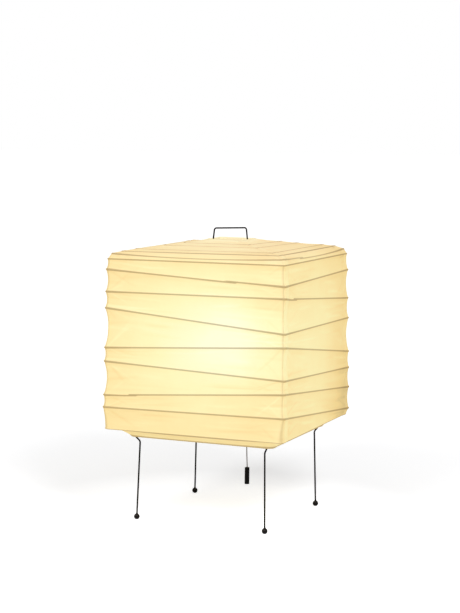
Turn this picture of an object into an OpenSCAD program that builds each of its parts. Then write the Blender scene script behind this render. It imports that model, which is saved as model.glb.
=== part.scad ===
// Table lamp: a square ribbed paper shade on a wire stand, with a pull-cord lampholder inside.
// Millimetres, +Z up. The origin is on the floor under the middle of the shade.
// Corners are always listed in the order front left, front right, back right, back left.

/* [Paper shade] */
// Half the width of the shade at its widest ribs
shade_half = 149.5; // [140:0.5:180]
// How much closer each side stands to the axis at the top than at the bottom
top_taper = 3; // [0:0.5:8]
// How far the upper and lower fold ribs stand in from the sides
fold_inset = 1.5; // [0:0.5:5]
// Height of the lower edge of the shade above the floor
hem_height = 132; // [110:1:170]
// Rise from the lower edge to the lower fold
underside_rise = 15; // [8:1:30]
// Width of the underside border, from the lower fold in to the lower edge
underside_border = 30; // [24:0.5:40]
// Thickness of the paper
paper_t = 0.5; // [0.3:0.1:0.8]
// How far the paper is drawn in between two ribs at a corner, as a ratio of their gap
corner_draw = 0.1; // [0.02:0.005:0.11]
// How far the paper sags between two ribs on the flat of a side, as a ratio of their gap
flat_draw = 0.015; // [0:0.005:0.04]
// Gap between the edges of two paper sides where they meet at a corner
seam_gap = 0.2; // [0.1:0.05:0.6]

/* [Gaps between the side ribs] */
// Gap from the upper fold rib to side rib 2 at each corner
rib_gap_1 = [16, 31, 26, 18]; // [8:1:80]
// Gap from side rib 2 to side rib 3 at each corner
rib_gap_2 = [34, 18, 46, 39]; // [8:1:80]
// Gap from side rib 3 to side rib 4 at each corner
rib_gap_3 = [25, 52, 32, 29]; // [8:1:80]
// Gap from side rib 4 to side rib 5 at each corner
rib_gap_4 = [61, 20, 55, 61]; // [8:1:80]
// Gap from side rib 5 to side rib 6 at each corner
rib_gap_5 = [21, 49, 26, 18]; // [8:1:80]
// Gap from side rib 6 to side rib 7 at each corner
rib_gap_6 = [52, 20, 32, 39]; // [8:1:80]
// Gap from side rib 7 to side rib 8 at each corner
rib_gap_7 = [19, 36, 35, 33]; // [8:1:80]
// Gap from side rib 8 to the lower fold rib at each corner
rib_gap_8 = [34, 37, 9, 23]; // [8:1:80]
// How far the lower fold rib stands above its mean height at each corner
lower_fold_lift = [-1, 0, 2, 1]; // [-4:0.5:4]

/* [Top of the shade] */
// Half the width of the opening in the top
opening_half = 30; // [27:1:40]
// Depth of the paper lip turned down inside the opening
opening_lip = 3; // [2:0.5:8]
// Distance of the outermost top rib in from the upper fold
top_rib_1_inset = 4.5; // [3:0.5:8]
// Distance of top rib 2 in from the upper fold
top_rib_2_inset = 16; // [12:1:24]
// Distance of top rib 3 in from the upper fold
top_rib_3_inset = 32; // [28:1:38]
// Distance of top rib 4 out from the opening at each corner
top_rib_4_step = [50, 41, 52, 48]; // [38:1:58]
// Distance of top rib 5 out from the opening at each corner
top_rib_5_step = [27, 19, 32, 28]; // [14:1:33]
// Rise of the outermost top rib above the upper fold
top_rib_1_rise = 8.5; // [6:0.5:10]
// Rise of top rib 2 above the upper fold
top_rib_2_rise = 13; // [10.5:0.5:14.5]
// Rise of top rib 3 above the upper fold
top_rib_3_rise = 15.5; // [15:0.5:18]
// Rise of top rib 4 above the upper fold
top_rib_4_rise = 19; // [18.5:0.5:21]
// Rise of top rib 5 above the upper fold
top_rib_5_rise = 22; // [21.5:0.5:24]
// Rise of the top opening above the upper fold
opening_rise = 27.5; // [25:0.5:34]

/* [Ribs and rings] */
// Thickness of a bamboo rib
rib_d = 1.6; // [1:0.1:2.4]
// Bend radius of a rib at the corners of the shade
rib_bend = 5; // [3:0.5:9]
// Length of the lapped splice in each rib
splice_length = 14; // [8:1:24]
// Gap between the paper and the ribs and rings that it is glued to
glue_gap = 0.3; // [0.2:0.05:0.5]
// Wire thickness of the rings in the two openings
ring_d = 2; // [1.6:0.1:2.6]
// Bend radius of the top opening ring
top_ring_bend = 8; // [5:0.5:12]
// Bend radius of the bottom opening ring, behind which the four legs catch
bottom_ring_bend = 9; // [8:0.5:20]

/* [Stand] */
// Wire thickness of a leg
leg_d = 2.6; // [2.2:0.1:3.4]
// Drop from the lower edge of the shade to the kink in a leg
kink_drop = 9; // [6:0.5:12]
// Slant of a leg above its kink, in degrees from upright
slant = 44; // [30:1:46]
// How far a foot stands out past its kink along the diagonal
leg_splay = 4.5; // [0:0.5:12]
// Height of the level part of a leg above the lower edge of the shade
arm_rise = 11; // [8:0.5:14]
// How far the stand is turned inside the shade, seen from above, in degrees
stand_turn = -1; // [-1.5:0.1:1.5]
// Bend radius of the kink
kink_bend = 6; // [4:0.5:9]
// Bend radius where a leg turns in to the hub
arm_bend = 4; // [3:0.5:5]
// Gap between a leg and the bottom opening ring
catch_gap = 0.3; // [0.1:0.05:0.6]
// Diameter of a ball foot
foot_d = 9; // [7:0.5:14]
// Depth of the small flat under a ball foot
foot_flat = 0.2; // [0.1:0.05:0.4]
// Diameter of the hub that the legs meet in
hub_d = 32; // [28:1:38]
// Height of the hub
hub_h = 8; // [7:0.5:12]
// Depth of the sockets in the hub that hold the legs
hub_socket = 8; // [5:0.5:8.5]
// Gap around a wire in its socket
socket_fit = 0.05; // [0.02:0.01:0.1]

/* [Handle and stretcher] */
// Wire thickness of the handle and stretcher
handle_d = 2.4; // [2:0.1:3]
// Rise of the handle above the top opening
handle_rise = 16.5; // [12:0.5:40]
// Half the length of the handle bar
handle_half = 26.6; // [22:0.1:28]
// How far the handle flares out from its bar down to its shoulders
handle_flare = 2.4; // [1:0.1:5]
// How far the handle stands off the axis, towards the front left corner
handle_offset = 2.4; // [0:0.1:4]
// Bend radius of the handle's upper corners
handle_bend = 3.5; // [2:0.5:6]
// Distance of a stretcher upright from the axis, along the diagonal
stretcher_reach = 46; // [44:0.5:54]
// Bend radius of the shoulders
shoulder_bend = 2.8; // [2:0.2:3.4]
// Gap between the shoulders and the top opening ring that they lift
shoulder_gap = 0.2; // [0.1:0.05:0.6]
// Wall of the tee sockets that carry the stretcher on the legs
tee_wall = 1.2; // [0.8:0.1:2]
// Length of a tee socket along the leg
tee_length = 12; // [8:1:20]
// Height of a tee socket above the leg
tee_h = 11; // [8:1:20]

/* [Lampholder] */
// Outer diameter of the lampholder
holder_d = 40; // [38:0.5:42]
// Wall of the lampholder cap and shell
holder_wall = 1.4; // [1:0.1:2]
// Height of the spacer between the hub and the lampholder
spacer_h = 14; // [8:1:40]
// Outer diameter of the spacer
spacer_d = 14; // [12:0.5:20]
// Height of the lampholder cap
cap_h = 18; // [16:1:26]
// Diameter of the mouth in the top of the shell
mouth_d = 30.5; // [30:0.5:34]
// Depth of the floor of the screw shell below the mouth
screw_depth = 29; // [26:0.5:31]
// Gap under the porcelain core, above the rim of the lampholder cap
core_lift = 1; // [0.5:0.5:3]
// Height of the porcelain core
core_h = 13; // [11:0.5:16]
// Outer diameter of the threaded tube
nipple_d = 10; // [9:0.5:11]
// Bore of the threaded tube, for the mains lead
nipple_bore = 6.4; // [5:0.2:7]
// Width across the flats of the nut under the hub
nut_across = 14; // [13:0.5:18]
// Height of the nut under the hub
nut_h = 4; // [3:0.5:6]
// Thickness of the washer under the hub
washer_t = 1.2; // [0.8:0.1:2]
// Bore of the lead bush in the foot of the threaded tube
bush_bore = 5; // [4:0.2:5.4]
// Wall of the brass screw shell
screw_wall = 0.6; // [0.4:0.1:1]
// Height of the brass screw shell
screw_h = 24; // [18:1:26]
// Running gap around the lamp cap in the screw shell
screw_gap = 0.5; // [0.35:0.05:0.8]
// Clearance between lampholder pieces that seat in each other
seat_gap = 0.1; // [0.05:0.05:0.3]
// Diameter of the screws in the lampholder
screw_d = 3; // [2.5:0.5:3.5]

/* [Pull switch] */
// Distance of the pull switch from the axis of the lamp
switch_reach = 31; // [30:0.5:36]
// Outer diameter of the switch housing
switch_d = 13; // [12.5:0.5:15]
// Wall of the switch housing
switch_wall = 1.6; // [1.2:0.1:2]
// Height of the switch housing
switch_h = 34; // [31:1:44]
// Travel of the pull switch
switch_travel = 8; // [4:0.5:8]
// Diameter of the plunger rod
plunger_rod_d = 2; // [1.6:0.1:2.4]
// Wire thickness of the return spring
spring_wire_d = 0.6; // [0.4:0.1:0.7]
// Turns of the return spring
spring_turns = 7; // [4:1:8]
// Wire thickness of the small rings in the pull
link_wire_d = 1; // [0.8:0.1:1.2]
// Radius of the small rings, to the middle of their wire
link_r = 2; // [1.8:0.1:2.6]
// Gap between two rings that hang in each other
link_gap = 0.3; // [0.3:0.05:0.4]

/* [Pull cord] */
// Thickness of the pull cord
cord_d = 1.6; // [1.2:0.1:2]
// Diameter of the black knob on the cord
knob_d = 7.5; // [6:0.5:12]
// Length of the knob
knob_h = 27; // [16:1:40]

/* [Bulb] */
// Diameter of the glass
bulb_d = 60; // [45:1:62]
// Length of the bulb from its contact to the top of the glass
bulb_h = 110; // [100:1:120]
// Diameter of the screw cap
lamp_cap_d = 26.2; // [26:0.1:26.4]
// Height of the screw cap
lamp_cap_h = 25; // [22:0.5:27]
// Thickness of the glass
glass_t = 0.8; // [0.6:0.1:1.2]

/* [Hidden] */
$fn = 48;
FRONT_LEFT = 0;
BACK_RIGHT = 2;
corner_names = ["front_left", "front_right", "back_right", "back_left"];
face_names = ["front", "right", "back", "left"];
corner_signs = [[-1, -1], [1, -1], [1, 1], [-1, 1]];
corner_turns = [for (a = [225, 315, 45, 135]) a + stand_turn];

// Colours
paper_colour = [0.98, 0.91, 0.68];
bamboo_colour = [0.62, 0.52, 0.36];
black_wire_colour = [0.07, 0.06, 0.06];
ring_colour = [0.25, 0.23, 0.2];
holder_colour = [0.12, 0.11, 0.11];
porcelain_colour = [0.93, 0.92, 0.88];
brass_colour = [0.8, 0.62, 0.28];
cord_colour = [0.45, 0.4, 0.33];
glass_colour = [1, 0.98, 0.92];
zinc_colour = [0.7, 0.71, 0.72];

// Heights of the side ribs, added up from the lower fold
fold_z = hem_height + underside_rise;
rib_gaps = [rib_gap_1, rib_gap_2, rib_gap_3, rib_gap_4, rib_gap_5, rib_gap_6, rib_gap_7, rib_gap_8];
side_rib_count = len(rib_gaps) + 1;
function total(list, from = 0) = from >= len(list) ? [0, 0, 0, 0] : list[from] + total(list, from + 1);
function level(z) = [z, z, z, z];
function mean(v) = (v[0] + v[1] + v[2] + v[3]) / 4;
function side_rib_z(k) = level(fold_z) + lower_fold_lift + total(rib_gaps, k);
upper_fold_z = mean(side_rib_z(0));
upper_fold_lift = side_rib_z(0) - level(upper_fold_z);
shade_h = upper_fold_z - fold_z;

// Distance of each side rib from the axis, square to a side
function side_rib_half(k) =
    shade_half - top_taper * (mean(side_rib_z(k)) - fold_z) / shade_h
    - ((k == 0 || k == side_rib_count - 1) ? fold_inset : 0);
upper_fold_half = side_rib_half(0);
hem_half = side_rib_half(side_rib_count - 1) - underside_border;
opening_z = upper_fold_z + opening_rise;

// A ring of the shade is [reach at each corner, height at each corner, corner radius],
// taken on the outside of the paper
function top_ring(reach, rise) =
    [reach, level(upper_fold_z + rise) + upper_fold_lift * (mean(reach) - opening_half)
     / (upper_fold_half - opening_half), rib_bend + glue_gap + paper_t + rib_d / 2];
function side_ring(k) =
    [level(side_rib_half(k)), side_rib_z(k), rib_bend + glue_gap + paper_t + rib_d / 2];
lip_slope = 0.6;
top_ring_cover = top_ring_bend + glue_gap + paper_t + ring_d / 2;
hem_cover = bottom_ring_bend + glue_gap + paper_t + ring_d / 2;
rings = concat(
    [[level(opening_half - lip_slope), level(opening_z - opening_lip), top_ring_cover],
     [level(opening_half), level(opening_z), top_ring_cover],
     top_ring(level(opening_half) + top_rib_5_step, top_rib_5_rise),
     top_ring(level(opening_half) + top_rib_4_step, top_rib_4_rise),
     top_ring(level(upper_fold_half - top_rib_3_inset), top_rib_3_rise),
     top_ring(level(upper_fold_half - top_rib_2_inset), top_rib_2_rise),
     top_ring(level(upper_fold_half - top_rib_1_inset), top_rib_1_rise)],
    [for (k = [0 : side_rib_count - 1]) side_ring(k)],
    [[level(hem_half), level(hem_height), hem_cover]]);
OPENING = 1;
FIRST_RIB = 2;
UPPER_FOLD = 7;
HEM = len(rings) - 1;
LOWER_FOLD = HEM - 1;
rib_count = HEM - FIRST_RIB;

// The profile of the shade is [mean distance from the axis, mean height] of each ring
function profile(k) = [mean(rings[k][0]), mean(rings[k][1])];
// Angle of the outward normal of the paper between ring k and ring k + 1, from level
function span_lean(k) =
    let (d = profile(k + 1) - profile(k)) atan2(d[0], -d[1]);
function unwrap(angle, near) =
    angle - near > 180 ? angle - 360 : angle - near < -180 ? angle + 360 : angle;
// Offset of a wire behind ring k that touches the paper on both sides of the ring
function behind(k, depth) =
    let (
        before = span_lean(max(k - 1, 0)),
        after = k >= HEM ? before : unwrap(span_lean(k), before),
        lean = (before + after) / 2,
        stretch = 1 / cos((after - before) / 2)
    ) [depth * stretch * cos(lean), depth * stretch * sin(lean)];
// Corner points of a wire ring of thickness d that lies behind ring k
function wire_corners(k, d) =
    let (back = behind(k, paper_t + glue_gap + d / 2))
    [for (c = [0 : 3]) [
        corner_signs[c][0] * (rings[k][0][c] - back[0]),
        corner_signs[c][1] * (rings[k][0][c] - back[0]),
        rings[k][1][c] - back[1]]];

// The stand catches behind the bottom opening ring
bottom_ring = wire_corners(HEM, ring_d);
bottom_ring_z = bottom_ring[BACK_RIGHT][2];
diagonal = sqrt(2);
// A leg passes inside the ring's corner bend, catch_reach from the centre of that bend
catch_reach = bottom_ring_bend - ring_d / 2 - catch_gap - leg_d / 2 / cos(slant);
bend_centre_s = (bottom_ring[BACK_RIGHT][0] - bottom_ring_bend) * diagonal;
catch_s = bend_centre_s * cos(stand_turn) + sqrt(pow(catch_reach, 2) - pow(bend_centre_s * sin(stand_turn), 2));
arm_z = hem_height + arm_rise;
kink_z = hem_height - kink_drop;
kink_s = catch_s - (bottom_ring_z - kink_z) * tan(slant);
arm_s = kink_s + (arm_z - kink_z) * tan(slant);
foot_s = kink_s + leg_splay;
foot_z = foot_d / 2 - foot_flat;
hub_inner = hub_d / 2 - hub_socket;
leg_points = [[foot_s, foot_z], [kink_s, kink_z], [arm_s, arm_z], [hub_inner + socket_fit, arm_z]];

// The handle and stretcher is one wire in the front left to back right diagonal
top_opening_corners = wire_corners(OPENING, ring_d);
top_ring_z = top_opening_corners[BACK_RIGHT][2];
handle_z = opening_z + handle_rise;
shoulder_z = min(top_ring_z - ring_d / 2, opening_z - opening_lip) - shoulder_gap - handle_d / 2;
shoulder_s = handle_half + handle_flare;
stretcher_foot_z = arm_z + leg_d / 2 + tee_wall;
stretcher_half = [
    [stretcher_reach, stretcher_foot_z], [stretcher_reach, shoulder_z],
    [shoulder_s - handle_offset, shoulder_z], [handle_half - handle_offset, handle_z]];
stretcher_other_half = [
    [-handle_half - handle_offset, handle_z], [-shoulder_s - handle_offset, shoulder_z],
    [-stretcher_reach, shoulder_z], [-stretcher_reach, stretcher_foot_z]];

// Heights up the middle of the lamp
hub_top = arm_z + hub_h / 2;
hub_bottom = arm_z - hub_h / 2;
holder_z = hub_top + spacer_h;
shell_z = holder_z + cap_h;
shell_h = core_lift + core_h + screw_depth;
holder_top = shell_z + shell_h;
cap_floor_t = 3;
nut_z = hub_bottom - washer_t - nut_h;
nipple_stick_out = 3;
nipple_z = nut_z - nipple_stick_out;
nipple_top = holder_z + cap_floor_t + 2;
bush_flange = 2.5;
bush_shank = 7;
core_z = shell_z + core_lift;
core_top = core_z + core_h;
core_d = holder_d - 2 * holder_wall - 2 * seat_gap;
screw_shell_r = lamp_cap_d / 2 + screw_gap;
contact_t = 0.8;
contact_lift = 1.5;
lamp_z = core_top + contact_t + contact_lift + link_gap;
switch_z = holder_z + 3;
switch_floor = 3;
switch_top = switch_z + switch_h;
switch_bore = switch_d - 2 * switch_wall;
bush_top = switch_z + switch_floor + 2;
spring_seat = 0.3;
plunger_head_t = 2;
switch_contact_h = 6;
contact_end_gap = 1;
plunger_head_z = switch_top - switch_wall - contact_end_gap - switch_contact_h - 0.4 - plunger_head_t;
spring_h = plunger_head_z - bush_top;
eye_drop = 7.5;
eye_z = switch_z - eye_drop;
link_drop = 2 * link_r - link_wire_d - link_gap;
pivot_z = eye_z - link_r + (link_wire_d + link_gap) / 2;
link_z = eye_z - link_drop;
cord_eye_z = link_z - link_drop;
cord_pivot_z = link_z - link_r + (link_wire_d + link_gap) / 2;
ferrule_d = 3.2;
ferrule_h = 6;
ferrule_z = 140;
// The route of the pull cord, from the ferrule down to the knob, as it hangs
cord_points = [[31, 0, 140], [30.8, 0, 132], [30.6, 0, 122], [30.6, 0, 110], [30.9, 0, 98],
    [31.4, 0, 86], [31.8, 0, 76]];
cord_sides = 8;
cord_rings = 18;

function rib_name(i) = str("rib_", i < 10 ? "0" : "", i);
function unit(v) = v / norm(v);
function mix(a, b, t) = a + (b - a) * t;

// Round bar from p to q
module bar(p, q, d) {
    v = q - p;
    translate(p)
        rotate([0, acos(v[2] / norm(v)), atan2(v[1], v[0])])
            cylinder(d = d, h = norm(v));
}

// Bent round wire or strip: straight runs between points, with a bend of its own radius at each.
// The path that it follows is a list of [place, direction].
function bend_at(before, corner, after, r, steps) =
    let (
        a = unit(corner - before),
        b = unit(after - corner),
        turn = acos(max(-1, min(1, a * b))),
        inward = unit(b - a * (a * b)),
        centre = corner - a * r * tan(turn / 2) + inward * r
    )
    r == 0 ? [[corner, unit(a + b)]]
    : [for (i = [0 : steps]) let (t = turn * i / steps)
        [centre - inward * r * cos(t) + a * r * sin(t), a * cos(t) + inward * sin(t)]];
function open_path(points, bends, steps) =
    let (n = len(points))
    concat(
        [[points[0], unit(points[1] - points[0])]],
        [for (i = [1 : n - 2]) each bend_at(points[i - 1], points[i], points[i + 1], bends[i], steps)],
        [[points[n - 1], unit(points[n - 1] - points[n - 2])]]);
function closed_path(points, r, steps) =
    let (n = len(points))
    [for (i = [0 : n - 1]) each bend_at(points[(i + n - 1) % n], points[i], points[(i + 1) % n], r, steps)];

// Rings of a round tube of thickness d along a path, none of whose directions is upright to ref
function tube_points(path, d, sides, ref) =
    [for (step = path) let (out = unit(cross(ref, step[1])), lift = cross(step[1], out))
        for (j = [0 : sides - 1]) let (a = -360 * j / sides)
            step[0] + (out * cos(a) + lift * sin(a)) * d / 2];

// Triangles of a tube of m rings with n points each, with two ends or joined up
function tube_walls(m, n, last) =
    [for (i = [0 : last]) for (j = [0 : n - 1]) each
        let (a = i * n + j, b = i * n + (j + 1) % n, c = (a + n) % (m * n), e = (b + n) % (m * n))
        [[a, c, e], [a, e, b]]];
function tube_ends(m, n) =
    [for (j = [1 : n - 2]) each [[0, j, j + 1], [(m - 1) * n, (m - 1) * n + j + 1, (m - 1) * n + j]]];

module open_tube(path, d, sides, ref) {
    polyhedron(
        points = tube_points(path, d, sides, ref),
        faces = concat(tube_walls(len(path), sides, len(path) - 2), tube_ends(len(path), sides)));
}

module closed_tube(path, d, sides, ref) {
    polyhedron(points = tube_points(path, d, sides, ref), faces = tube_walls(len(path), sides, len(path) - 1));
}

// Points given as [distance along a diagonal, height] are stood up in that diagonal
function on_diagonal(points, c) =
    [for (p = points) [cos(corner_turns[c]) * p[0], sin(corner_turns[c]) * p[0], p[1]]];

// Paper

function ring_corner(k, c) = [
    corner_signs[c][0] * rings[k][0][c], corner_signs[c][1] * rings[k][0][c], rings[k][1][c]];
// Places across one side: round the first corner, along the flat and round the second corner
flat_places = [0.05, 0.16, 0.5, 0.84, 0.95];
arc_angles = [45, 67.5, 90];
column_count = len(flat_places) + 2 * len(arc_angles);

// A point of ring k at column i of side f, as [point, direction along the ring]
function arc_place(k, c, along, across, angle, sense) =
    let (r = rings[k][2])
    [ring_corner(k, c) + along * r * (1 - cos(angle)) + across * r * (1 - sin(angle)),
     unit(along * sin(angle) - across * cos(angle)) * sense];
function ring_place(k, f, i) =
    let (
        g = (f + 1) % 4,
        a = ring_corner(k, f),
        b = ring_corner(k, g),
        u = unit(b - a),
        n = len(arc_angles),
        r = rings[k][2],
        length = norm(b - a)
    )
    i < n ? arc_place(k, f, u, unit(ring_corner(k, (f + 3) % 4) - a), arc_angles[i], 1)
    : i >= column_count - n
        ? arc_place(k, g, -u, unit(ring_corner(k, (g + 1) % 4) - b), arc_angles[column_count - 1 - i], -1)
    : [a + u * mix(r, length - r, flat_places[i - n]), u];

// How strongly the corner draws the paper in at column i, from 1 at a corner to 0 on the flat
corner_share = [1, 0.95, 0.85, 0.55, 0.12, 0, 0.12, 0.55, 0.85, 0.95, 1];
// Spans on the side are drawn in more than those on the top and the underside
top_draw = 0.35;
function span_draw(k, i) =
    let (on_side = k >= UPPER_FOLD && k < LOWER_FOLD)
    k < OPENING ? 0 : (on_side ? 1 : top_draw) * mix(flat_draw, corner_draw, corner_share[i]);

function outward(k, f, i) =
    let (
        p = ring_place(k, f, i),
        q = ring_place(k + 1, f, i)
    ) unit(cross(unit(q[0] - p[0]), unit(p[1] + q[1])));
function ring_outward(k, f, i) =
    k == 0 ? outward(0, f, i)
    : k == HEM ? outward(HEM - 1, f, i)
    : unit(outward(k - 1, f, i) + outward(k, f, i));

// Rows of the paper as [ring, share of the way to the next ring]
function rows_in(k) = (k == 0 || k == UPPER_FOLD - 1) ? 1 : (k < UPPER_FOLD || k == LOWER_FOLD) ? 2 : 4;
rows = concat(
    [for (k = [0 : HEM - 1]) for (v = [0 : rows_in(k) - 1]) [k, v / rows_in(k)]],
    [[HEM, 0]]);

// Each edge of a side stands back from the corner by half the seam gap
function trim_to_seam(i) = i == 0 ? seam_gap / 2 : i == column_count - 1 ? -seam_gap / 2 : 0;
function paper_outer(row, f, i) =
    let (
        k = row[0],
        v = row[1],
        p = ring_place(k, f, i),
        q = v == 0 ? p : ring_place(k + 1, f, i),
        place = mix(p[0], q[0], v) + p[1] * trim_to_seam(i)
    )
    v == 0 ? place
    : place - outward(k, f, i) * span_draw(k, i) * norm(q[0] - p[0]) * 4 * v * (1 - v);
function paper_inner(row, f, i) =
    let (
        k = row[0],
        normal = row[1] == 0 ? ring_outward(k, f, i) : outward(k, f, i),
        // the wall keeps its thickness where two spans meet at an angle
        bite = (row[1] == 0 && k > 0 && k < HEM)
            ? sqrt(2 / (1 + outward(k - 1, f, i) * outward(k, f, i))) : 1
    ) paper_outer(row, f, i) - normal * paper_t * bite;

// Triangles of a closed sheet with an outer and an inner grid of rows by columns
function sheet_faces(m, n) =
    let (inner = m * n)
    concat(
        [for (r = [0 : m - 2]) for (c = [0 : n - 2]) each
            let (a = r * n + c, b = a + 1, d = a + n, e = d + 1)
            [[a, b, e], [a, e, d], [inner + a, inner + e, inner + b], [inner + a, inner + d, inner + e]]],
        [for (r = [0 : m - 2]) each
            let (a = r * n, d = a + n, b = a + n - 1, e = b + n)
            [[a, d, inner + d], [a, inner + d, inner + a], [b, inner + e, e], [b, inner + b, inner + e]]],
        [for (c = [0 : n - 2]) each
            let (a = c, b = c + 1, d = (m - 1) * n + c, e = d + 1)
            [[a, inner + b, b], [a, inner + a, inner + b], [d, e, inner + e], [d, inner + e, inner + d]]]);

module paper(f) {
    color(paper_colour)
        polyhedron(
            points = concat(
                [for (row = rows) for (i = [0 : column_count - 1]) paper_outer(row, f, i)],
                [for (row = rows) for (i = [0 : column_count - 1]) paper_inner(row, f, i)]),
            faces = sheet_faces(len(rows), column_count));
}

// Ribs and rings

// A bamboo rib runs once round the shade behind the paper, and its far end is lapped beside its
// near end. Each rib is spliced on one side, at a share of the way along it.
splices = [[3, 0.6], [2, 0.3], [3, 0.4], [2, 0.7], [1, 0.28], [2, 0.55], [0, 0.71],
    [1, 0.14], [3, 0.35], [2, 0.62], [3, 0.2], [0, 0.17], [2, 0.45], [0, 0.78]];
rib_sides = 6;
rib_bend_steps = 3;
splice_lead = 8;
UP = [0, 0, 1];
module rib(i) {
    k = FIRST_RIB + i - 1;
    corners = wire_corners(k, rib_d);
    side = splices[i - 1][0];
    order = [for (c = [1 : 4]) corners[(side + c) % 4]];
    along = unit(order[0] - order[3]);
    middle = mix(order[3], order[0], splices[i - 1][1]);
    // the lap lies beside the rib in the surface of the paper
    to_axis = unit([-middle[0], -middle[1], 0]);
    across = k < UPPER_FOLD ? unit([to_axis[0], to_axis[1], 0.15]) : k == LOWER_FOLD ? UP : -UP;
    beside = across * (rib_d + glue_gap);
    near_end = middle - along * splice_length / 2;
    points = concat([near_end], order, [near_end - along * splice_lead + beside,
        middle + along * splice_length / 2 + beside]);
    color(bamboo_colour)
        open_tube(open_path(points, [0, rib_bend, rib_bend, rib_bend, rib_bend, 0, 0], rib_bend_steps),
            rib_d, rib_sides, UP);
}

ring_sides = 8;
ring_bend_steps = 6;
module top_opening_ring() {
    color(ring_colour)
        closed_tube(closed_path(top_opening_corners, top_ring_bend, ring_bend_steps), ring_d, ring_sides, UP);
}

module bottom_opening_ring() {
    color(ring_colour)
        closed_tube(closed_path(bottom_ring, bottom_ring_bend, ring_bend_steps), ring_d, ring_sides, UP);
}

// Stand

wire_sides = 10;
wire_bend_steps = 5;
module leg(c) {
    path = open_path(on_diagonal(leg_points, c), [0, kink_bend, arm_bend, 0], wire_bend_steps);
    color(black_wire_colour)
        open_tube(path, leg_d, wire_sides, [-sin(corner_turns[c]), cos(corner_turns[c]), 0]);
}

module foot(c) {
    points = on_diagonal(leg_points, c);
    color(black_wire_colour)
        difference() {
            translate(points[0]) sphere(d = foot_d);
            translate(points[0] - [foot_d, foot_d, foot_z + foot_d]) cube([2 * foot_d, 2 * foot_d, foot_d]);
            bar(points[0] - unit(points[1] - points[0]) * socket_fit, points[1], leg_d + 2 * socket_fit);
        }
}

module hub() {
    color(black_wire_colour)
        difference() {
            translate([0, 0, hub_bottom]) cylinder(d = hub_d, h = hub_h);
            translate([0, 0, hub_bottom - 1]) cylinder(d = nipple_d + 2 * socket_fit, h = hub_h + 2);
            for (c = [0 : 3])
                rotate([0, 0, corner_turns[c]])
                    translate([hub_inner, 0, arm_z])
                        rotate([0, 90, 0]) cylinder(d = leg_d + 2 * socket_fit, h = hub_d);
        }
}

module hub_washer() {
    color(zinc_colour)
        translate([0, 0, hub_bottom - washer_t])
            tube(nut_across + 4, nipple_d + 2 * seat_gap, washer_t);
}

module hub_nut() {
    color(zinc_colour)
        translate([0, 0, nut_z])
            difference() {
                cylinder(d = nut_across / cos(30), h = nut_h, $fn = 6);
                translate([0, 0, -1]) cylinder(d = nipple_d + 2 * socket_fit, h = nut_h + 2);
            }
}

module tube(outer, inner, h) {
    difference() {
        cylinder(d = outer, h = h);
        translate([0, 0, -1]) cylinder(d = inner, h = h + 2);
    }
}

module threaded_tube() {
    color(zinc_colour) translate([0, 0, nipple_z]) tube(nipple_d, nipple_bore, nipple_top - nipple_z);
}

// Nylon bush in the foot of the threaded tube, where the mains lead enters
module lead_bush() {
    color(holder_colour)
        translate([0, 0, nipple_z - bush_flange])
            difference() {
                union() {
                    cylinder(d = nipple_d + 1, h = bush_flange);
                    cylinder(d = nipple_bore - 2 * socket_fit, h = bush_flange + bush_shank);
                }
                translate([0, 0, -1]) cylinder(d = bush_bore, h = bush_flange + bush_shank + 2);
            }
}

module spacer() {
    color(black_wire_colour)
        translate([0, 0, hub_top]) tube(spacer_d, nipple_d + 2 * seat_gap, spacer_h);
}

// Handle and stretcher

module handle_stretcher() {
    points = on_diagonal(concat(stretcher_half, stretcher_other_half), BACK_RIGHT);
    half_bends = [0, shoulder_bend, shoulder_bend, handle_bend];
    bends = concat(half_bends, [for (i = [3 : -1 : 0]) half_bends[i]]);
    turn = corner_turns[BACK_RIGHT];
    color(black_wire_colour)
        open_tube(open_path(points, bends, wire_bend_steps), handle_d, wire_sides, [-sin(turn), cos(turn), 0]);
}

// Tee socket on a leg that carries one foot of the stretcher
module tee(c) {
    color(black_wire_colour)
        rotate([0, 0, corner_turns[c]])
            translate([stretcher_reach, 0, arm_z])
                difference() {
                    union() {
                        translate([-tee_length / 2, 0, 0])
                            rotate([0, 90, 0]) cylinder(d = leg_d + 2 * tee_wall, h = tee_length);
                        cylinder(d = handle_d + 2 * tee_wall, h = tee_h);
                    }
                    translate([-tee_length, 0, 0])
                        rotate([0, 90, 0]) cylinder(d = leg_d + 2 * socket_fit, h = 2 * tee_length);
                    translate([0, 0, stretcher_foot_z - arm_z - socket_fit])
                        cylinder(d = handle_d + 2 * socket_fit, h = tee_h);
                }
}

// Lampholder

// Points of a quarter round from angle a to angle b
function quarter(centre, r, a, b, steps = 6) =
    [for (i = [0 : steps]) let (t = mix(a, b, i / steps)) centre + r * [cos(t), sin(t)]];

cap_round = 7;
module holder_cap() {
    r = holder_d / 2;
    inner = r - holder_wall;
    color(holder_colour)
        translate([0, 0, holder_z])
            rotate_extrude()
                polygon(concat(
                    [[nipple_d / 2 + socket_fit, 0]],
                    quarter([r - cap_round, cap_round], cap_round, -90, 0),
                    [[r, cap_h], [inner, cap_h]],
                    quarter([inner - cap_round + holder_wall, cap_floor_t + cap_round - holder_wall],
                        cap_round - holder_wall, 0, -90),
                    [[nipple_d / 2 + socket_fit, cap_floor_t]]));
}

module holder_shell() {
    r = holder_d / 2;
    lip = 2;
    color(holder_colour)
        translate([0, 0, shell_z])
            rotate_extrude()
                polygon(concat(
                    [[r - holder_wall, 0], [r, 0]],
                    quarter([r - lip, shell_h - lip], lip, 0, 90, 4),
                    [[mouth_d / 2, shell_h], [mouth_d / 2, shell_h - holder_wall],
                     [r - holder_wall, shell_h - holder_wall]]));
}

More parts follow.
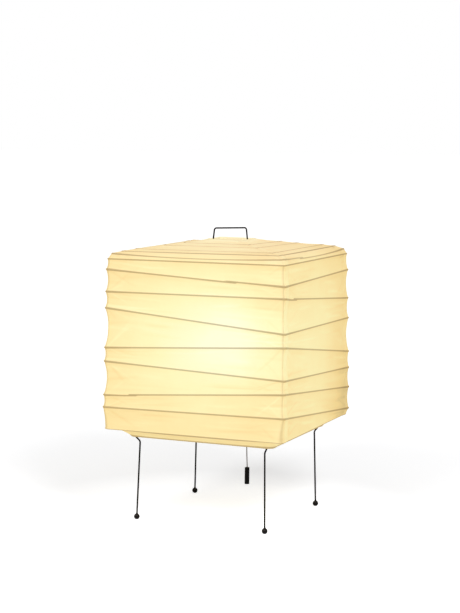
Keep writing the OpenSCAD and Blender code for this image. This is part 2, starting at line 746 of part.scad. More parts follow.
// Porcelain core with a recess for the screw shell and holes for its screws
core_recess = 2;
core_screw_reach = 11;
tongue_w = 2.6;
tongue_l = 7.6;
tongue_slot = 0.2;
terminal_inset = 4;
terminal_depth = 8;
terminal_reach = core_d / 2 - terminal_inset;
module holder_core() {
    color(porcelain_colour)
        translate([0, 0, core_z])
            difference() {
                cylinder(d = core_d, h = core_h + core_recess);
                translate([0, 0, core_h]) cylinder(r = screw_shell_r + screw_wall + seat_gap, h = core_recess + 1);
                for (side = [-1, 1])
                    translate([0, side * core_screw_reach, -1])
                        cylinder(d = screw_d + 2 * seat_gap, h = core_h + 2);
                translate([-tongue_w / 2 - tongue_slot, -tongue_l / 2 - tongue_slot, core_h - contact_t])
                    cube([tongue_w + 2 * tongue_slot, tongue_l + 2 * tongue_slot, contact_t + 1]);
                for (side = [-1, 1])
                    translate([side * terminal_reach, 0, -1])
                        cylinder(d = screw_d + 2 * seat_gap, h = terminal_depth);
            }
}

module screw_shell() {
    color(brass_colour)
        translate([0, 0, core_top])
            difference() {
                cylinder(r = screw_shell_r + screw_wall, h = screw_h);
                translate([0, 0, screw_wall]) cylinder(r = screw_shell_r, h = screw_h);
                translate([0, 0, -1]) cylinder(r = core_screw_reach - screw_d * 1.5, h = screw_h);
                for (side = [-1, 1])
                    translate([0, side * core_screw_reach, -1])
                        cylinder(d = screw_d + 2 * seat_gap, h = screw_h);
            }
}

// Brass tongue under the lamp's own contact
tongue_boss_d = 4;
module centre_contact() {
    color(brass_colour)
        translate([0, 0, core_top]) {
            translate([-tongue_w / 2, -tongue_l / 2, -contact_t]) cube([tongue_w, tongue_l, contact_t]);
            cylinder(d = tongue_boss_d, h = contact_lift + contact_t);
        }
}

// Two screws under the core that clamp the lead's two wires
terminal_head_d = 5.6;
terminal_head_h = 2;
terminal_gap = 0.2;
module terminal_screws() {
    color(brass_colour)
        for (side = [-1, 1])
            translate([side * terminal_reach, 0, core_z - terminal_gap - terminal_head_h]) {
                cylinder(d = terminal_head_d, h = terminal_head_h);
                cylinder(d = screw_d, h = terminal_depth);
            }
}

// Two long screws that hold the screw shell and core together
core_screw_head_d = 4.6;
core_screw_head_h = 1;
module core_screws() {
    color(brass_colour)
        for (side = [-1, 1])
            translate([0, side * core_screw_reach, core_top + screw_wall]) {
                cylinder(d = core_screw_head_d, h = core_screw_head_h);
                translate([0, 0, -core_h - screw_wall]) cylinder(d = screw_d, h = core_h + screw_wall);
            }
}

// Pull switch

bush_d = 7;
bush_collar_d = 9;
bush_collar_h = 1.5;
module switch_housing() {
    bridge_w = 9;
    bridge_h = 12;
    bridge_drop = 3;
    color(holder_colour)
        difference() {
            union() {
                translate([switch_reach, 0, switch_z]) cylinder(d = switch_d, h = switch_h);
                translate([0, -bridge_w / 2, switch_z + (switch_h - bridge_h) / 2 - bridge_drop])
                    cube([switch_reach, bridge_w, bridge_h]);
            }
            translate([0, 0, holder_z - 1]) cylinder(r = holder_d / 2 + seat_gap, h = shell_h + cap_h);
            translate([switch_reach, 0, switch_z + switch_floor])
                cylinder(d = switch_bore, h = switch_h - switch_floor - switch_wall);
            translate([switch_reach, 0, switch_z - 1]) cylinder(d = bush_d + 2 * seat_gap, h = switch_h / 2);
        }
}

plunger_play = 0.35;
module switch_bush() {
    color(brass_colour)
        translate([switch_reach, 0, 0])
            difference() {
                union() {
                    translate([0, 0, switch_z - bush_collar_h]) cylinder(d = bush_collar_d, h = bush_collar_h);
                    translate([0, 0, switch_z - bush_collar_h])
                        cylinder(d = bush_d, h = bush_top - switch_z + bush_collar_h);
                }
                translate([0, 0, switch_z - bush_collar_h - 1])
                    cylinder(d = plunger_rod_d + 2 * plunger_play, h = switch_h);
            }
}

module small_ring() {
    rotate_extrude($fn = 72) translate([link_r, 0]) circle(d = link_wire_d);
}

// Rod with a head that rides on the spring, and an eye for the pull
head_play = 0.5;
module pull_plunger() {
    color(brass_colour)
        translate([switch_reach, 0, 0]) {
            translate([0, 0, plunger_head_z]) cylinder(d = switch_bore - 2 * head_play, h = plunger_head_t);
            translate([0, 0, eye_z + link_r]) cylinder(d = plunger_rod_d, h = plunger_head_z - eye_z - link_r + 0.5);
            translate([0, 0, eye_z]) rotate([90, 0, 0]) small_ring();
        }
}

// Compression spring between the bush and the plunger's head
spring_r = 3;
spring_sides = 6;
spring_steps = 12;
module return_spring() {
    n = spring_turns * spring_steps;
    z0 = bush_top + spring_seat + spring_wire_d / 2;
    rise = spring_h - 2 * spring_seat - spring_wire_d;
    climb = rise / spring_turns / 360 * 180 / PI;
    path = [for (i = [0 : n]) let (t = 360 * i / spring_steps)
        [[spring_r * cos(t), spring_r * sin(t), z0 + rise * i / n],
         unit([-spring_r * sin(t), spring_r * cos(t), climb])]];
    color(zinc_colour)
        translate([switch_reach, 0, 0]) open_tube(path, spring_wire_d, spring_sides, UP);
}

// Two brass blades that the plunger's head bridges
blade_t = 1.2;
blade_w = 3;
blade_reach = 3;
module switch_contacts() {
    color(brass_colour)
        for (side = [-1, 1])
            translate([switch_reach + side * blade_reach - blade_t / 2, -blade_w / 2,
                switch_top - switch_wall - switch_contact_h - contact_end_gap])
                cube([blade_t, blade_w, switch_contact_h + contact_end_gap - seat_gap]);
}

// Pull

module pull_link() {
    color(brass_colour) translate([switch_reach, 0, link_z]) rotate([0, 90, 0]) small_ring();
}

// Crimped ferrule with an eye, on the upper end of the cord
module cord_ferrule() {
    color(brass_colour)
        translate([switch_reach, 0, 0]) {
            translate([0, 0, cord_eye_z]) rotate([90, 0, 0]) small_ring();
            translate([0, 0, ferrule_z]) cylinder(d = ferrule_d, h = cord_eye_z - link_r - ferrule_z + 0.2);
        }
}

function cord_at(t) =
    let (
        n = len(cord_points) - 1,
        x = min(t, 0.999999) * n,
        i = floor(x),
        f = x - i,
        p0 = cord_points[max(i - 1, 0)],
        p1 = cord_points[i],
        p2 = cord_points[i + 1],
        p3 = cord_points[min(i + 2, n)]
    ) 0.5 * (2 * p1 + (p2 - p0) * f + (2 * p0 - 5 * p1 + 4 * p2 - p3) * f * f
        + (3 * p1 - p0 - 3 * p2 + p3) * f * f * f);

module pull_cord() {
    path = [for (i = [0 : cord_rings - 1])
        [cord_at(i / (cord_rings - 1)), [0, 0, -1]]];
    color(cord_colour) open_tube(path, cord_d, cord_sides, [0, 1, 0]);
}

module pull_knob() {
    color(black_wire_colour)
        translate(cord_points[len(cord_points) - 1] - [0, 0, knob_h]) cylinder(d = knob_d, h = knob_h);
}

// Bulb

bulb_r = bulb_d / 2;
bulb_centre = lamp_z + bulb_h - bulb_r;
neck_r = lamp_cap_d / 2 - 0.4;
neck_seat = 6;
neck_z = lamp_z + lamp_cap_h - neck_seat;
// The glass runs from a round top down into a neck
waist = 12;
function glass_profile(shrink) =
    let (r = bulb_r - shrink, low = bulb_centre - bulb_r * 0.62)
    concat(
        [for (i = [0 : 12]) let (t = mix(90, -36, i / 12)) [r * cos(t), bulb_centre + r * sin(t)]],
        [for (i = [1 : 6])
            let (
                t = i / 6,
                from = [r * cos(-36), bulb_centre + r * sin(-36)],
                to = [neck_r - shrink, neck_z + neck_seat + waist],
                pull_in = from + [-r * 0.36, -r * 0.5],
                pull_up = to + [0, waist]
            ) pow(1 - t, 3) * from + 3 * pow(1 - t, 2) * t * pull_in + 3 * (1 - t) * t * t * pull_up
              + t * t * t * to],
        [[neck_r - shrink, neck_z]]);

module bulb_glass() {
    outer = glass_profile(0);
    inner = glass_profile(glass_t);
    color(glass_colour)
        rotate_extrude()
            polygon(concat(outer, [for (i = [len(inner) - 1 : -1 : 0]) inner[i]]));
}

cap_wall = 0.35;
insulator_h = 4;
insulator_low_d = 12;
insulator_high_d = 20;
contact_h = 1.4;
contact_low_d = 7;
contact_high_d = 9;
module bulb_cap() {
    color(zinc_colour)
        translate([0, 0, lamp_z + insulator_h])
            difference() {
                cylinder(d = lamp_cap_d, h = lamp_cap_h - insulator_h);
                translate([0, 0, cap_wall]) cylinder(r = neck_r + 0.05, h = lamp_cap_h);
            }
}

module bulb_insulator() {
    color([0.1, 0.09, 0.12])
        translate([0, 0, lamp_z + contact_h])
            cylinder(d1 = insulator_low_d, d2 = insulator_high_d, h = insulator_h - contact_h);
}

module bulb_contact() {
    color(zinc_colour) translate([0, 0, lamp_z]) cylinder(d1 = contact_low_d, d2 = contact_high_d, h = contact_h);
}

// Glass stem that carries the filament on its two leads
stem_h = 38;
stem_d = 7;
stem_pinch = 8;
stem_foot_h = 2;
lead_d = 1;
lead_reach = 2;
filament_d = 1.4;
filament_half = 12;
filament_rise = 8;
module bulb_stem() {
    filament_z = stem_h + filament_rise;
    color([0.85, 0.86, 0.85])
        translate([0, 0, neck_z]) {
            cylinder(r = neck_r - glass_t - seat_gap, h = stem_foot_h);
            cylinder(d = stem_d, h = stem_h - stem_pinch);
            for (side = [-1, 1]) {
                translate([side * lead_reach, 0, 0]) cylinder(d = lead_d, h = stem_h);
                bar([side * lead_reach, 0, stem_h - lead_d / 2], [side * filament_half, 0, filament_z], lead_d);
            }
            bar([-filament_half, 0, filament_z], [filament_half, 0, filament_z], filament_d);
        }
}

for (f = [0 : 3]) paper(f);
for (i = [1 : rib_count]) rib(i);
top_opening_ring();
bottom_opening_ring();
for (c = [0 : 3]) leg(c);
for (c = [0 : 3]) foot(c);
handle_stretcher();
tee(FRONT_LEFT);  // tee_front_left
tee(BACK_RIGHT);  // tee_back_right
hub();
hub_washer();
hub_nut();
threaded_tube();
lead_bush();
spacer();
holder_cap();
holder_shell();
holder_core();
screw_shell();
centre_contact();
terminal_screws();
core_screws();
switch_housing();
switch_bush();
pull_plunger();
return_spring();
switch_contacts();
pull_link();
cord_ferrule();
pull_cord();
pull_knob();
bulb_glass();
bulb_cap();
bulb_insulator();
bulb_contact();
bulb_stem();
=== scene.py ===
"""Paper table lamp: a square ribbed paper shade on a wire stand, with a lampholder and a pull cord inside.

Metres, +Z up, the floor at Z = 0. The front of the shade faces -Y. Corners are always in the order
front left, front right, back right, back left.
"""

import math

import bpy
import numpy as np
from mathutils import Matrix


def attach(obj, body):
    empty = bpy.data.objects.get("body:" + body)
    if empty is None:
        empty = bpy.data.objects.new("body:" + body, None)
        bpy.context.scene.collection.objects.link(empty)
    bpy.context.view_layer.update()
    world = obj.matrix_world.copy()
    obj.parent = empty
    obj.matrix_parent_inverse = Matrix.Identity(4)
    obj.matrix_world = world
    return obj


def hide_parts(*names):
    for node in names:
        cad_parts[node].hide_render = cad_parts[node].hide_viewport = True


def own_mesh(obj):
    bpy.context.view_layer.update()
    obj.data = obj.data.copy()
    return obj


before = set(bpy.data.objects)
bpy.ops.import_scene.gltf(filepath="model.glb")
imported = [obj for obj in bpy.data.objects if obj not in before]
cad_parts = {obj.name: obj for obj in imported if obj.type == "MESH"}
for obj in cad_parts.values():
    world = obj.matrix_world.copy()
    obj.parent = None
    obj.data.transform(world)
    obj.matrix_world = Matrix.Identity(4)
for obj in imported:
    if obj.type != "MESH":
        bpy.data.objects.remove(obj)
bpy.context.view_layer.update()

# ---------------------------------------------------------------------------------------------
# Camera. It stands a good two and a half metres away, a little to the right of the front and a
# little above the shade, and looks down at it by six degrees.

camera_place = (1.02227, -2.46315, 0.60947)
camera_azimuth, camera_dip, camera_roll = (math.radians(angle) for angle in (22.568, 5.998, 0.813))
camera = bpy.data.objects.new("camera", bpy.data.cameras.new("camera"))
camera.data.lens = 100.21
camera.data.sensor_width = 36
camera.data.clip_start, camera.data.clip_end = 0.05, 40
camera.matrix_world = (
    Matrix.Translation(camera_place) @ Matrix.Rotation(camera_azimuth, 4, "Z")
    @ Matrix.Rotation(math.pi / 2 - camera_dip, 4, "X") @ Matrix.Rotation(camera_roll, 4, "Z"))
bpy.context.scene.collection.objects.link(camera)
bpy.context.scene.camera = camera
bpy.context.scene.view_settings.view_transform = "Standard"

# ---------------------------------------------------------------------------------------------
# Studio. A plain white floor that runs out of sight, an even white room and two soft lamps in
# front, left and right, that throw the faint wide shadow behind the stand.


def unit(v):
    """v divided by its length, along the last axis."""
    return v / np.linalg.norm(v, axis=-1, keepdims=True)


class Nodes:
    """A node tree under construction. add() puts in a node, wired or set by its sockets' names."""

    def __init__(self, tree):
        self.tree = tree

    def set(self, node, values):
        for socket, value in values.items():
            target = node.inputs[socket if isinstance(socket, int) else socket.replace("_", " ")]
            if isinstance(value, bpy.types.NodeSocket):
                self.tree.links.new(value, target)
            else:
                target.default_value = value

    def add(self, kind, values=None, **properties):
        node = self.tree.nodes.new(kind)
        for key, value in properties.items():
            setattr(node, key, value)
        self.set(node, values or {})
        return node

    def place(self, kind="Object"):
        return self.add("ShaderNodeTexCoord").outputs[kind]

    def stretched(self, *scale):
        """UV coordinates multiplied by scale, one number for each axis."""
        return self.add("ShaderNodeMapping", {"Vector": self.place("UV"), "Scale": scale}).outputs[0]

    def noise(self, vector, scale, detail=2.0, rough=0.5):
        return self.add("ShaderNodeTexNoise", {
            "Vector": vector, "Scale": scale, "Detail": detail, "Roughness": rough}).outputs["Fac"]

    def span(self, value, low, high, to_low=0.0, to_high=1.0):
        """value from low to high becomes to_low to to_high, and stays there outside."""
        return self.add("ShaderNodeMapRange", {
            "Value": value, "From Min": low, "From Max": high, "To Min": to_low, "To Max": to_high,
        }).outputs[0]

    def sum(self, operation, a, b, c=0.0):
        return self.add("ShaderNodeMath", {0: a, 1: b, 2: c}, operation=operation).outputs[0]

    def vector(self, operation, a, b=(0, 0, 0), output="Vector"):
        return self.add("ShaderNodeVectorMath", {0: a, 1: b}, operation=operation).outputs[output]

    def parts(self, vector):
        """The sockets of X, Y and Z of a vector."""
        return self.add("ShaderNodeSeparateXYZ", {0: vector}).outputs

    def ramp(self, value, *stops):
        """The colours of the stops, each a place and a red, green and blue."""
        node = self.add("ShaderNodeValToRGB", {0: value})
        while len(node.color_ramp.elements) < len(stops):
            node.color_ramp.elements.new(1.0)
        for element, (place, colour) in zip(node.color_ramp.elements, stops):
            element.position = place
            element.color = (*colour, 1)
        return node.outputs[0]

    def blend(self, share, a, b, blend_type="MIX"):
        node = self.add("ShaderNodeMix", data_type="RGBA", blend_type=blend_type)
        self.set(node, {0: share, 6: a, 7: b})
        return node.outputs[2]


class Finish(Nodes):
    """A material under construction: the nodes round its shader, which starts with the values given."""

    def __init__(self, name, **shader):
        self.material = bpy.data.materials.new(name)
        self.material.use_nodes = True
        super().__init__(self.material.node_tree)
        self.shader = self.tree.nodes["Principled BSDF"]
        self.set(self.shader, shader)

    def bump(self, height, distance, strength=1.0):
        self.set(self.shader, {"Normal": self.add("ShaderNodeBump", {
            "Height": height, "Distance": distance, "Strength": strength}).outputs[0]})


WHITE, BLACK = (1, 1, 1, 1), (0, 0, 0, 1)
floor_finish = Finish(
    "white studio floor", Roughness=0.9, Base_Color=(0.78, 0.79, 0.82, 1), Emission_Strength=1.0)
seen = floor_finish.add("ShaderNodeLightPath").outputs["Is Camera Ray"]
reach = floor_finish.vector("LENGTH", floor_finish.place(), output="Value")
# Painted light: emission that only the camera sees lifts the floor to white, more far off where the lamps'
# light is weak, and under the shade, where it stands in for the bulb's light falling through the bottom
# opening
painted_floor_light = floor_finish.ramp(
    floor_finish.span(reach, 0, 2), (0.0, (0.78,) * 3), (0.09, (0.74,) * 3), (0.17, (0.6,) * 3),
    (0.4, (0.72,) * 3), (0.9, (0.95,) * 3))
floor_finish.set(floor_finish.shader, {"Emission Color": floor_finish.blend(seen, BLACK, painted_floor_light)})
floor_reach = 40
floor = bpy.data.meshes.new("studio_floor")
floor.from_pydata([(floor_reach * x, floor_reach * y, 0) for x, y in ((-1, -1), (1, -1), (1, 1), (-1, 1))],
                  [], [(0, 1, 2, 3)])
floor.materials.append(floor_finish.material)
floor = bpy.data.objects.new("studio_floor", floor)
bpy.context.scene.collection.objects.link(floor)

world = bpy.data.worlds.new("white room")
bpy.context.scene.world = world
world.use_nodes = True
room = Nodes(world.node_tree)
light_of_room = room.tree.nodes["Background"]
room.set(light_of_room, {"Color": WHITE, "Strength": 0.2})
backdrop = room.add("ShaderNodeBackground", {"Color": WHITE, "Strength": 1.0})
choice = room.add("ShaderNodeMixShader", {
    0: room.add("ShaderNodeLightPath").outputs["Is Camera Ray"], 1: light_of_room.outputs[0],
    2: backdrop.outputs[0]})
room.set(room.tree.nodes["World Output"], {0: choice.outputs[0]})

for name, place, turn, power in (
    ("left_lamp", (-0.37, -1.65, 1.5), (52.5, 0, -12.5), 15),
    ("right_lamp", (1.18, -1.21, 1.5), (52.5, 0, 44.5), 22),
):
    lamp = bpy.data.objects.new(name, bpy.data.lights.new(name, "AREA"))
    lamp.data.shape = "DISK"
    lamp.data.size = 0.7
    lamp.data.energy = power
    lamp.location = place
    lamp.rotation_euler = [math.radians(angle) for angle in turn]
    bpy.context.scene.collection.objects.link(lamp)

# ---------------------------------------------------------------------------------------------
# Hub and legs. Four black lacquered wires are brazed into the sockets of a turned hub. Each runs
# out level, bends down in a slant that catches behind the lower ring of the shade, and stands up.


def surface(name, grid, finish, round_rows=False, round_columns=True, poles=(), uv=None, smooth=35):
    """A mesh piece over a grid of points, rows by columns. Rows or columns may join up, and poles
    are the points that close the first and the last row. Row to row is the upward side of the
    faces' right hand, so a column order that turns anticlockwise round a rising path is outward."""
    m, n = grid.shape[:2]
    i, j = np.arange(m - (not round_rows)), np.arange(n - (not round_columns))
    a = (i[:, None] * n + j).ravel()
    b = (i[:, None] * n + (j + 1) % n).ravel()
    up = n * (((i + 1) % m) - i)[:, None] + 0 * j
    faces = np.stack([a, b, b + up.ravel(), a + up.ravel()], 1).tolist()
    points = grid.reshape(-1, 3)
    if len(poles):
        ring = np.arange(n)
        after = (ring + 1) % n
        last = (m - 1) * n
        faces += np.stack([np.full(n, m * n), after, ring], 1).tolist()
        faces += np.stack([np.full(n, m * n + 1), ring + last, after + last], 1).tolist()
        points = np.concatenate([points, np.array(poles)])
    mesh = bpy.data.meshes.new(name)
    mesh.from_pydata(points, [], faces)
    if uv is not None:
        corners = np.stack([
            uv[i[:, None], j], uv[i[:, None], j + 1], uv[i[:, None] + 1, j + 1], uv[i[:, None] + 1, j],
        ], 2).reshape(-1, 2)
        corners = np.concatenate([corners, np.zeros((len(mesh.loops) - len(corners), 2))])
        mesh.uv_layers.new(name="along").data.foreach_set("uv", corners.ravel())
    mesh.polygons.foreach_set("use_smooth", np.ones(len(mesh.polygons), bool))
    mesh.set_sharp_from_angle(angle=math.radians(smooth))
    mesh.materials.append(finish.material)
    piece = bpy.data.objects.new(name, mesh)
    bpy.context.scene.collection.objects.link(piece)
    return piece


def put(piece, slot, *nodes, body="lamp_frame"):
    """The piece rides on the body in the place of the CAD nodes. Its slot argument is not used."""
    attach(piece, body)
    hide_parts(*nodes)
    return piece


def wear(finish, *nodes):
    """CAD nodes keep their shape and take the finish."""
    for node in nodes:
        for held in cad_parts[node].material_slots:
            held.material = finish.material


def bend(corner, a, b, r, steps):
    """Arc of radius r from direction a to direction b, cut off a corner:
    corner - a r tan(w/2) + r (a sin t + n (1 - cos t)) for t from 0 to the turn w, n being square to
    a towards b. Without a radius or a turn it is the corner itself."""
    turn = math.acos(max(-1.0, min(1.0, a @ b)))
    if r <= 0 or turn <= 1e-3:
        return corner[None]
    n = unit(b - a * (a @ b))
    t = np.linspace(0, turn, steps)[:, None]
    return corner - a * r * math.tan(turn / 2) + r * (a * np.sin(t) + n * (1 - np.cos(t)))


def middle_line(corners, bends, step=0.004, arc_steps=10):
    """Middle line of bent wire as points: straight between its corners, in steps, with a bend of
    each radius at the corners between the ends."""
    corners = np.asarray(corners, float)
    runs, last = [], corners[0]

    def straight(p, q):
        return p + (q - p) * np.linspace(0, 1, max(2, int(np.linalg.norm(q - p) / step) + 1))[:, None]

    for before, corner, after, r in zip(corners, corners[1:], corners[2:], bends):
        arc = bend(corner, unit(corner - before), unit(after - corner), r, arc_steps)
        runs += [straight(last, arc[0])[:-1], arc]
        last = arc[-1]
    runs.append(straight(last, corners[-1])[1:])
    return np.concatenate(runs)


def lengths(line):
    """Distance of each point of a line from its start, along the line."""
    return np.concatenate([[0], np.cumsum(np.linalg.norm(np.diff(line, axis=0), axis=1))])


def tube(line, radius, sides, level, joined=False):
    """Rings of a tube: line + radius (out cos a + over sin a), out being square to the line and to
    level, over square to both. The radius is one number, one for each ring, or one for each point."""
    ends = np.concatenate([line[-1:], line, line[:1]]) if joined else line
    ahead = unit(np.gradient(ends, axis=0))
    ahead = ahead[1:-1] if joined else ahead
    out = unit(np.cross(level, ahead))
    over = np.cross(ahead, out)
    a = np.linspace(0, 2 * math.pi, sides, endpoint=False)[:, None]
    radius = np.asarray(radius, float)
    radius = radius if radius.ndim == 2 else np.broadcast_to(radius, len(line))[:, None]
    return line[:, None] + radius[..., None] * (out[:, None] * np.cos(a) + over[:, None] * np.sin(a))


def unrolled(s, sides):
    """UV of a tube's points: distance along it and share of the way round."""
    return np.stack(np.broadcast_arrays(s[:, None], np.linspace(0, 1, sides + 1)[None]), 2)


def wire(name, finish, line, thickness, sides, level, end_round=0.3, uv=False, pared=None):
    """A wire with slightly rounded ends: its tube is narrowed over the last end_round radii. Pared
    ends, given as a length and a share, are thinned to that share of the radius."""
    r = thickness / 2
    rounding = end_round * r
    s = lengths(line)
    into_end = rounding * (1 - np.cos(np.linspace(0, math.pi / 2, 4)))
    inset = np.unique(np.concatenate([into_end, s, s[-1] - into_end]))
    fine = np.stack([np.interp(inset, s, line[:, k]) for k in range(3)], 1)
    from_end = np.minimum(inset, s[-1] - inset)
    edge = np.clip(from_end / rounding, 0, 1)
    radius = r - rounding * (1 - np.sqrt(np.clip(1 - (1 - edge) ** 2, 0, 1)))
    if pared:
        length, share = pared
        radius = radius * np.interp(from_end, (length, length * 1.4), (share, 1))
    return surface(name, tube(fine, radius, sides, level), finish, poles=(line[0], line[-1]),
                   uv=unrolled(inset, sides) if uv else None)


def wear_and_dust_group():
    """Node group with a soft cloud of handling marks, fine scratches along a direction and grains
    of dust that gather on faces turned up."""
    group = bpy.data.node_groups.new("wear and dust", "ShaderNodeTree")
    for name, value in (("Cloud Scale", 60.0), ("Scratch Scale", 400.0)):
        group.interface.new_socket(name, in_out="INPUT", socket_type="NodeSocketFloat").default_value = value
    for name in ("Cloud", "Scratches", "Dust"):
        group.interface.new_socket(name, in_out="OUTPUT", socket_type="NodeSocketFloat")
    made = Nodes(group)
    scales = made.add("NodeGroupInput").outputs
    place = made.place()
    cloud = made.noise(place, scales[0], 4, 0.6)
    long_way = made.add("ShaderNodeMapping", {
        "Vector": place, "Scale": (1, 1, 0.12), "Rotation": (0.3, 0.2, 0)}).outputs[0]
    scratches = made.span(made.noise(long_way, scales[1], 3, 0.7), 0.55, 0.75)
    upward = made.parts(made.add("ShaderNodeNewGeometry").outputs["Normal"])[2]
    grains = made.span(made.noise(place, 900, 2, 0.6), 0.56, 0.7)
    dust = made.sum("MULTIPLY", made.span(upward, 0.2, 1.0), grains)
    ends = made.add("NodeGroupOutput")
    made.set(ends, {"Cloud": cloud, "Scratches": scratches, "Dust": dust})
    return group


wear_and_dust = wear_and_dust_group()


def handled(name, colour, dusty, rough, cloud_scale, scratch_scale, dust, bump=0.00002, **shader):
    """Finish of a handled surface: two shades of the colour in a soft cloud, some dust on top, and
    roughness between rough's two values where it is scratched."""
    finish = Finish(name, **shader)
    group = finish.add("ShaderNodeGroup", node_tree=wear_and_dust)
    finish.set(group, {"Cloud Scale": cloud_scale, "Scratch Scale": scratch_scale})
    cloud, scratches, grains = (group.outputs[name] for name in ("Cloud", "Scratches", "Dust"))
    tone = finish.ramp(cloud, (0.3, colour), (0.7, tuple(c * 1.35 for c in colour)))
    worn = finish.sum("ADD", scratches, finish.sum("MULTIPLY", cloud, 0.5))
    finish.set(finish.shader, {
        "Base Color": finish.blend(finish.sum("MULTIPLY", grains, dust), tone, (*dusty, 1)),
        "Roughness": finish.span(worn, 0.1, 1.2, *rough)})
    finish.bump(finish.sum("SUBTRACT", cloud, finish.sum("MULTIPLY", scratches, 0.4)), bump)
    return finish


black_lacquer = handled(
    "black lacquered wire", (0.004, 0.0022, 0.0015), (0.06, 0.045, 0.035), (0.42, 0.6), 45, 260, 0.04,
    0.000005, Specular_IOR_Level=0.1)

CORNERS = np.array([[-1, -1], [1, -1], [1, 1], [-1, 1]])
CORNER_NAMES = ("front_left", "front_right", "back_right", "back_left")
leg_thickness = 0.0026
foot_height = 0.0043
# Distance from the axis along the diagonal, and height, of a leg's ends and bends
LEG = np.array([[0.152467, foot_height], [0.147967, 0.123], [0.167281, 0.143], [0.00805, 0.143]])
stand_turn = math.radians(-1)


def towards(corner):
    """Level direction of a corner's leg: the diagonal, turned by as much as the stand is in the shade."""
    angle = math.radians((225, 315, 45, 135)[corner]) + stand_turn
    return math.cos(angle), math.sin(angle)


def on_diagonal(points, corner):
    """Points given as distance from the axis and height, stood up over the line of a corner's leg."""
    x, y = towards(corner)
    return np.stack([points[:, 0] * x, points[:, 0] * y, points[:, 1]], 1)


for corner, name in enumerate(CORNER_NAMES):
    x, y = towards(corner)
    line = middle_line(on_diagonal(LEG, corner), (0.006, 0.004))
    put(wire("leg_wire_" + name, black_lacquer, line, leg_thickness, 20, (-y, x, 0)),
        "black_wire", "leg_" + name)
wear(black_lacquer, "hub", "spacer")

# ---------------------------------------------------------------------------------------------
# Feet. Turned black balls pushed on the ends of the legs, each with a short collar where the wire
# goes in and a small flat, rubbed grey, that stands on the floor.


def turned(name, finish, profile, place=(0, 0, 0), sides=64, joined=True, smooth=35, wobble=None):
    """A turned piece: each [radius, height] of the profile goes once round the upright axis at
    place. A joined profile is the closed outline of a wall, and one that isn't starts and ends on
    the axis. Up on the outside is outward."""
    profile = np.asarray(profile, float)
    poles = ()
    if not joined:
        poles = [(place[0], place[1], place[2] + profile[k, 1]) for k in (0, -1)]
        profile = profile[1:-1]
    a = np.linspace(0, 2 * math.pi, sides, endpoint=False)
    radius = np.repeat(profile[:, :1], sides, 1)
    if wobble is not None:
        radius = radius + wobble(profile, a)
    grid = np.stack([
        place[0] + radius * np.cos(a), place[1] + radius * np.sin(a),
        place[2] + np.repeat(profile[:, 1:], sides, 1)], 2)
    return surface(name, grid, finish, round_rows=joined, poles=poles, smooth=smooth)


black_ball = handled(
    "black ball foot", (0.005, 0.0028, 0.002), (0.08, 0.065, 0.05), (0.28, 0.45), 90, 500, 0.06, 0.00001,
    Specular_IOR_Level=0.25)
rubbed = black_ball.span(black_ball.parts(black_ball.place())[2], 0.0002, 0.0007, 1, 0)
colour = black_ball.shader.inputs["Base Color"].links[0].from_socket
black_ball.set(black_ball.shader, {"Base Color": black_ball.blend(rubbed, colour, (0.07, 0.066, 0.06, 1))})

ball_r, collar_r = 0.0045, 0.0019
flat_edge, collar_edge = math.acos(foot_height / ball_r), math.asin(collar_r / ball_r)
turn = np.linspace(flat_edge, math.pi - collar_edge, 34)
round_part = np.stack([ball_r * np.sin(turn), -ball_r * np.cos(turn)], 1)
collar_z = ball_r * math.cos(collar_edge)
ball_profile = np.concatenate([
    [[0, -foot_height], [round_part[0, 0] * 0.9, -foot_height]], round_part,
    [[collar_r, collar_z + 0.0005], [collar_r - 0.00025, collar_z + 0.0008], [0, collar_z + 0.0008]]])
for corner, name in enumerate(CORNER_NAMES):
    put(turned("ball_" + name, black_ball, ball_profile, on_diagonal(LEG, corner)[0], 48, False),
        "foot_ball", "foot_" + name)

# ---------------------------------------------------------------------------------------------
# Handle and stretcher. One black wire stands in two tee sockets on opposite legs, rises inside the
# shade, holds its top ring up on two shoulders and comes out of the opening as a carrying handle.

handle_thickness = 0.0024
socket_z, shoulder_z, handle_z = 0.1455, 0.431969, 0.453
stretcher = np.array([
    [0.046, socket_z], [0.046, shoulder_z], [0.0266, shoulder_z], [0.0242, handle_z],
    [-0.029, handle_z], [-0.0314, shoulder_z], [-0.046, shoulder_z], [-0.046, socket_z]])
line = middle_line(on_diagonal(stretcher, 2), (0.0028, 0.0028, 0.0035, 0.0035, 0.0028, 0.0028))
x, y = towards(2)
put(wire("handle_wire", black_lacquer, line, handle_thickness, 20, (-y, x, 0)),
    "black_wire", "handle_stretcher")
wear(black_lacquer, "tee_front_left", "tee_back_right")

# ---------------------------------------------------------------------------------------------
# Threaded tube, nut, washer and lead bush. The zinc-plated tube clamps the hub, the spacer and the
# lampholder together, and the black nylon bush in its foot lets the mains lead in unharmed.

zinc = handled("zinc plate", (0.5, 0.51, 0.5), (0.4, 0.38, 0.34), (0.26, 0.5), 140, 700, 0.2, Metallic=1.0)
wear(zinc, "hub_washer", "hub_nut")

threaded_finish = Finish("zinc-plated thread", Metallic=1.0, Roughness=0.34)
half_pitch = 0.0005
flank = threaded_finish.sum("PINGPONG", threaded_finish.parts(threaded_finish.place())[2], half_pitch)
flank = threaded_finish.span(flank, 0, half_pitch)
# Painted shade: the thread is darker in its roots and lighter on its crests, along the same profile as its
# bump
threaded_finish.set(threaded_finish.shader, {
    "Base Color": threaded_finish.ramp(flank, (0.1, (0.2, 0.2, 0.19)), (0.7, (0.6, 0.6, 0.58)))})
threaded_finish.bump(flank, 0.0004)
wear(threaded_finish, "threaded_tube")

nylon = handled("black nylon", (0.012, 0.012, 0.013), (0.15, 0.15, 0.14), (0.42, 0.6), 120, 600, 0.2)
wear(nylon, "lead_bush")

# ---------------------------------------------------------------------------------------------
# Lampholder. A moulded black cap and shell screw together round a porcelain core, which carries
# the brass screw shell, the tongue under the lamp and the two terminals for the lead.

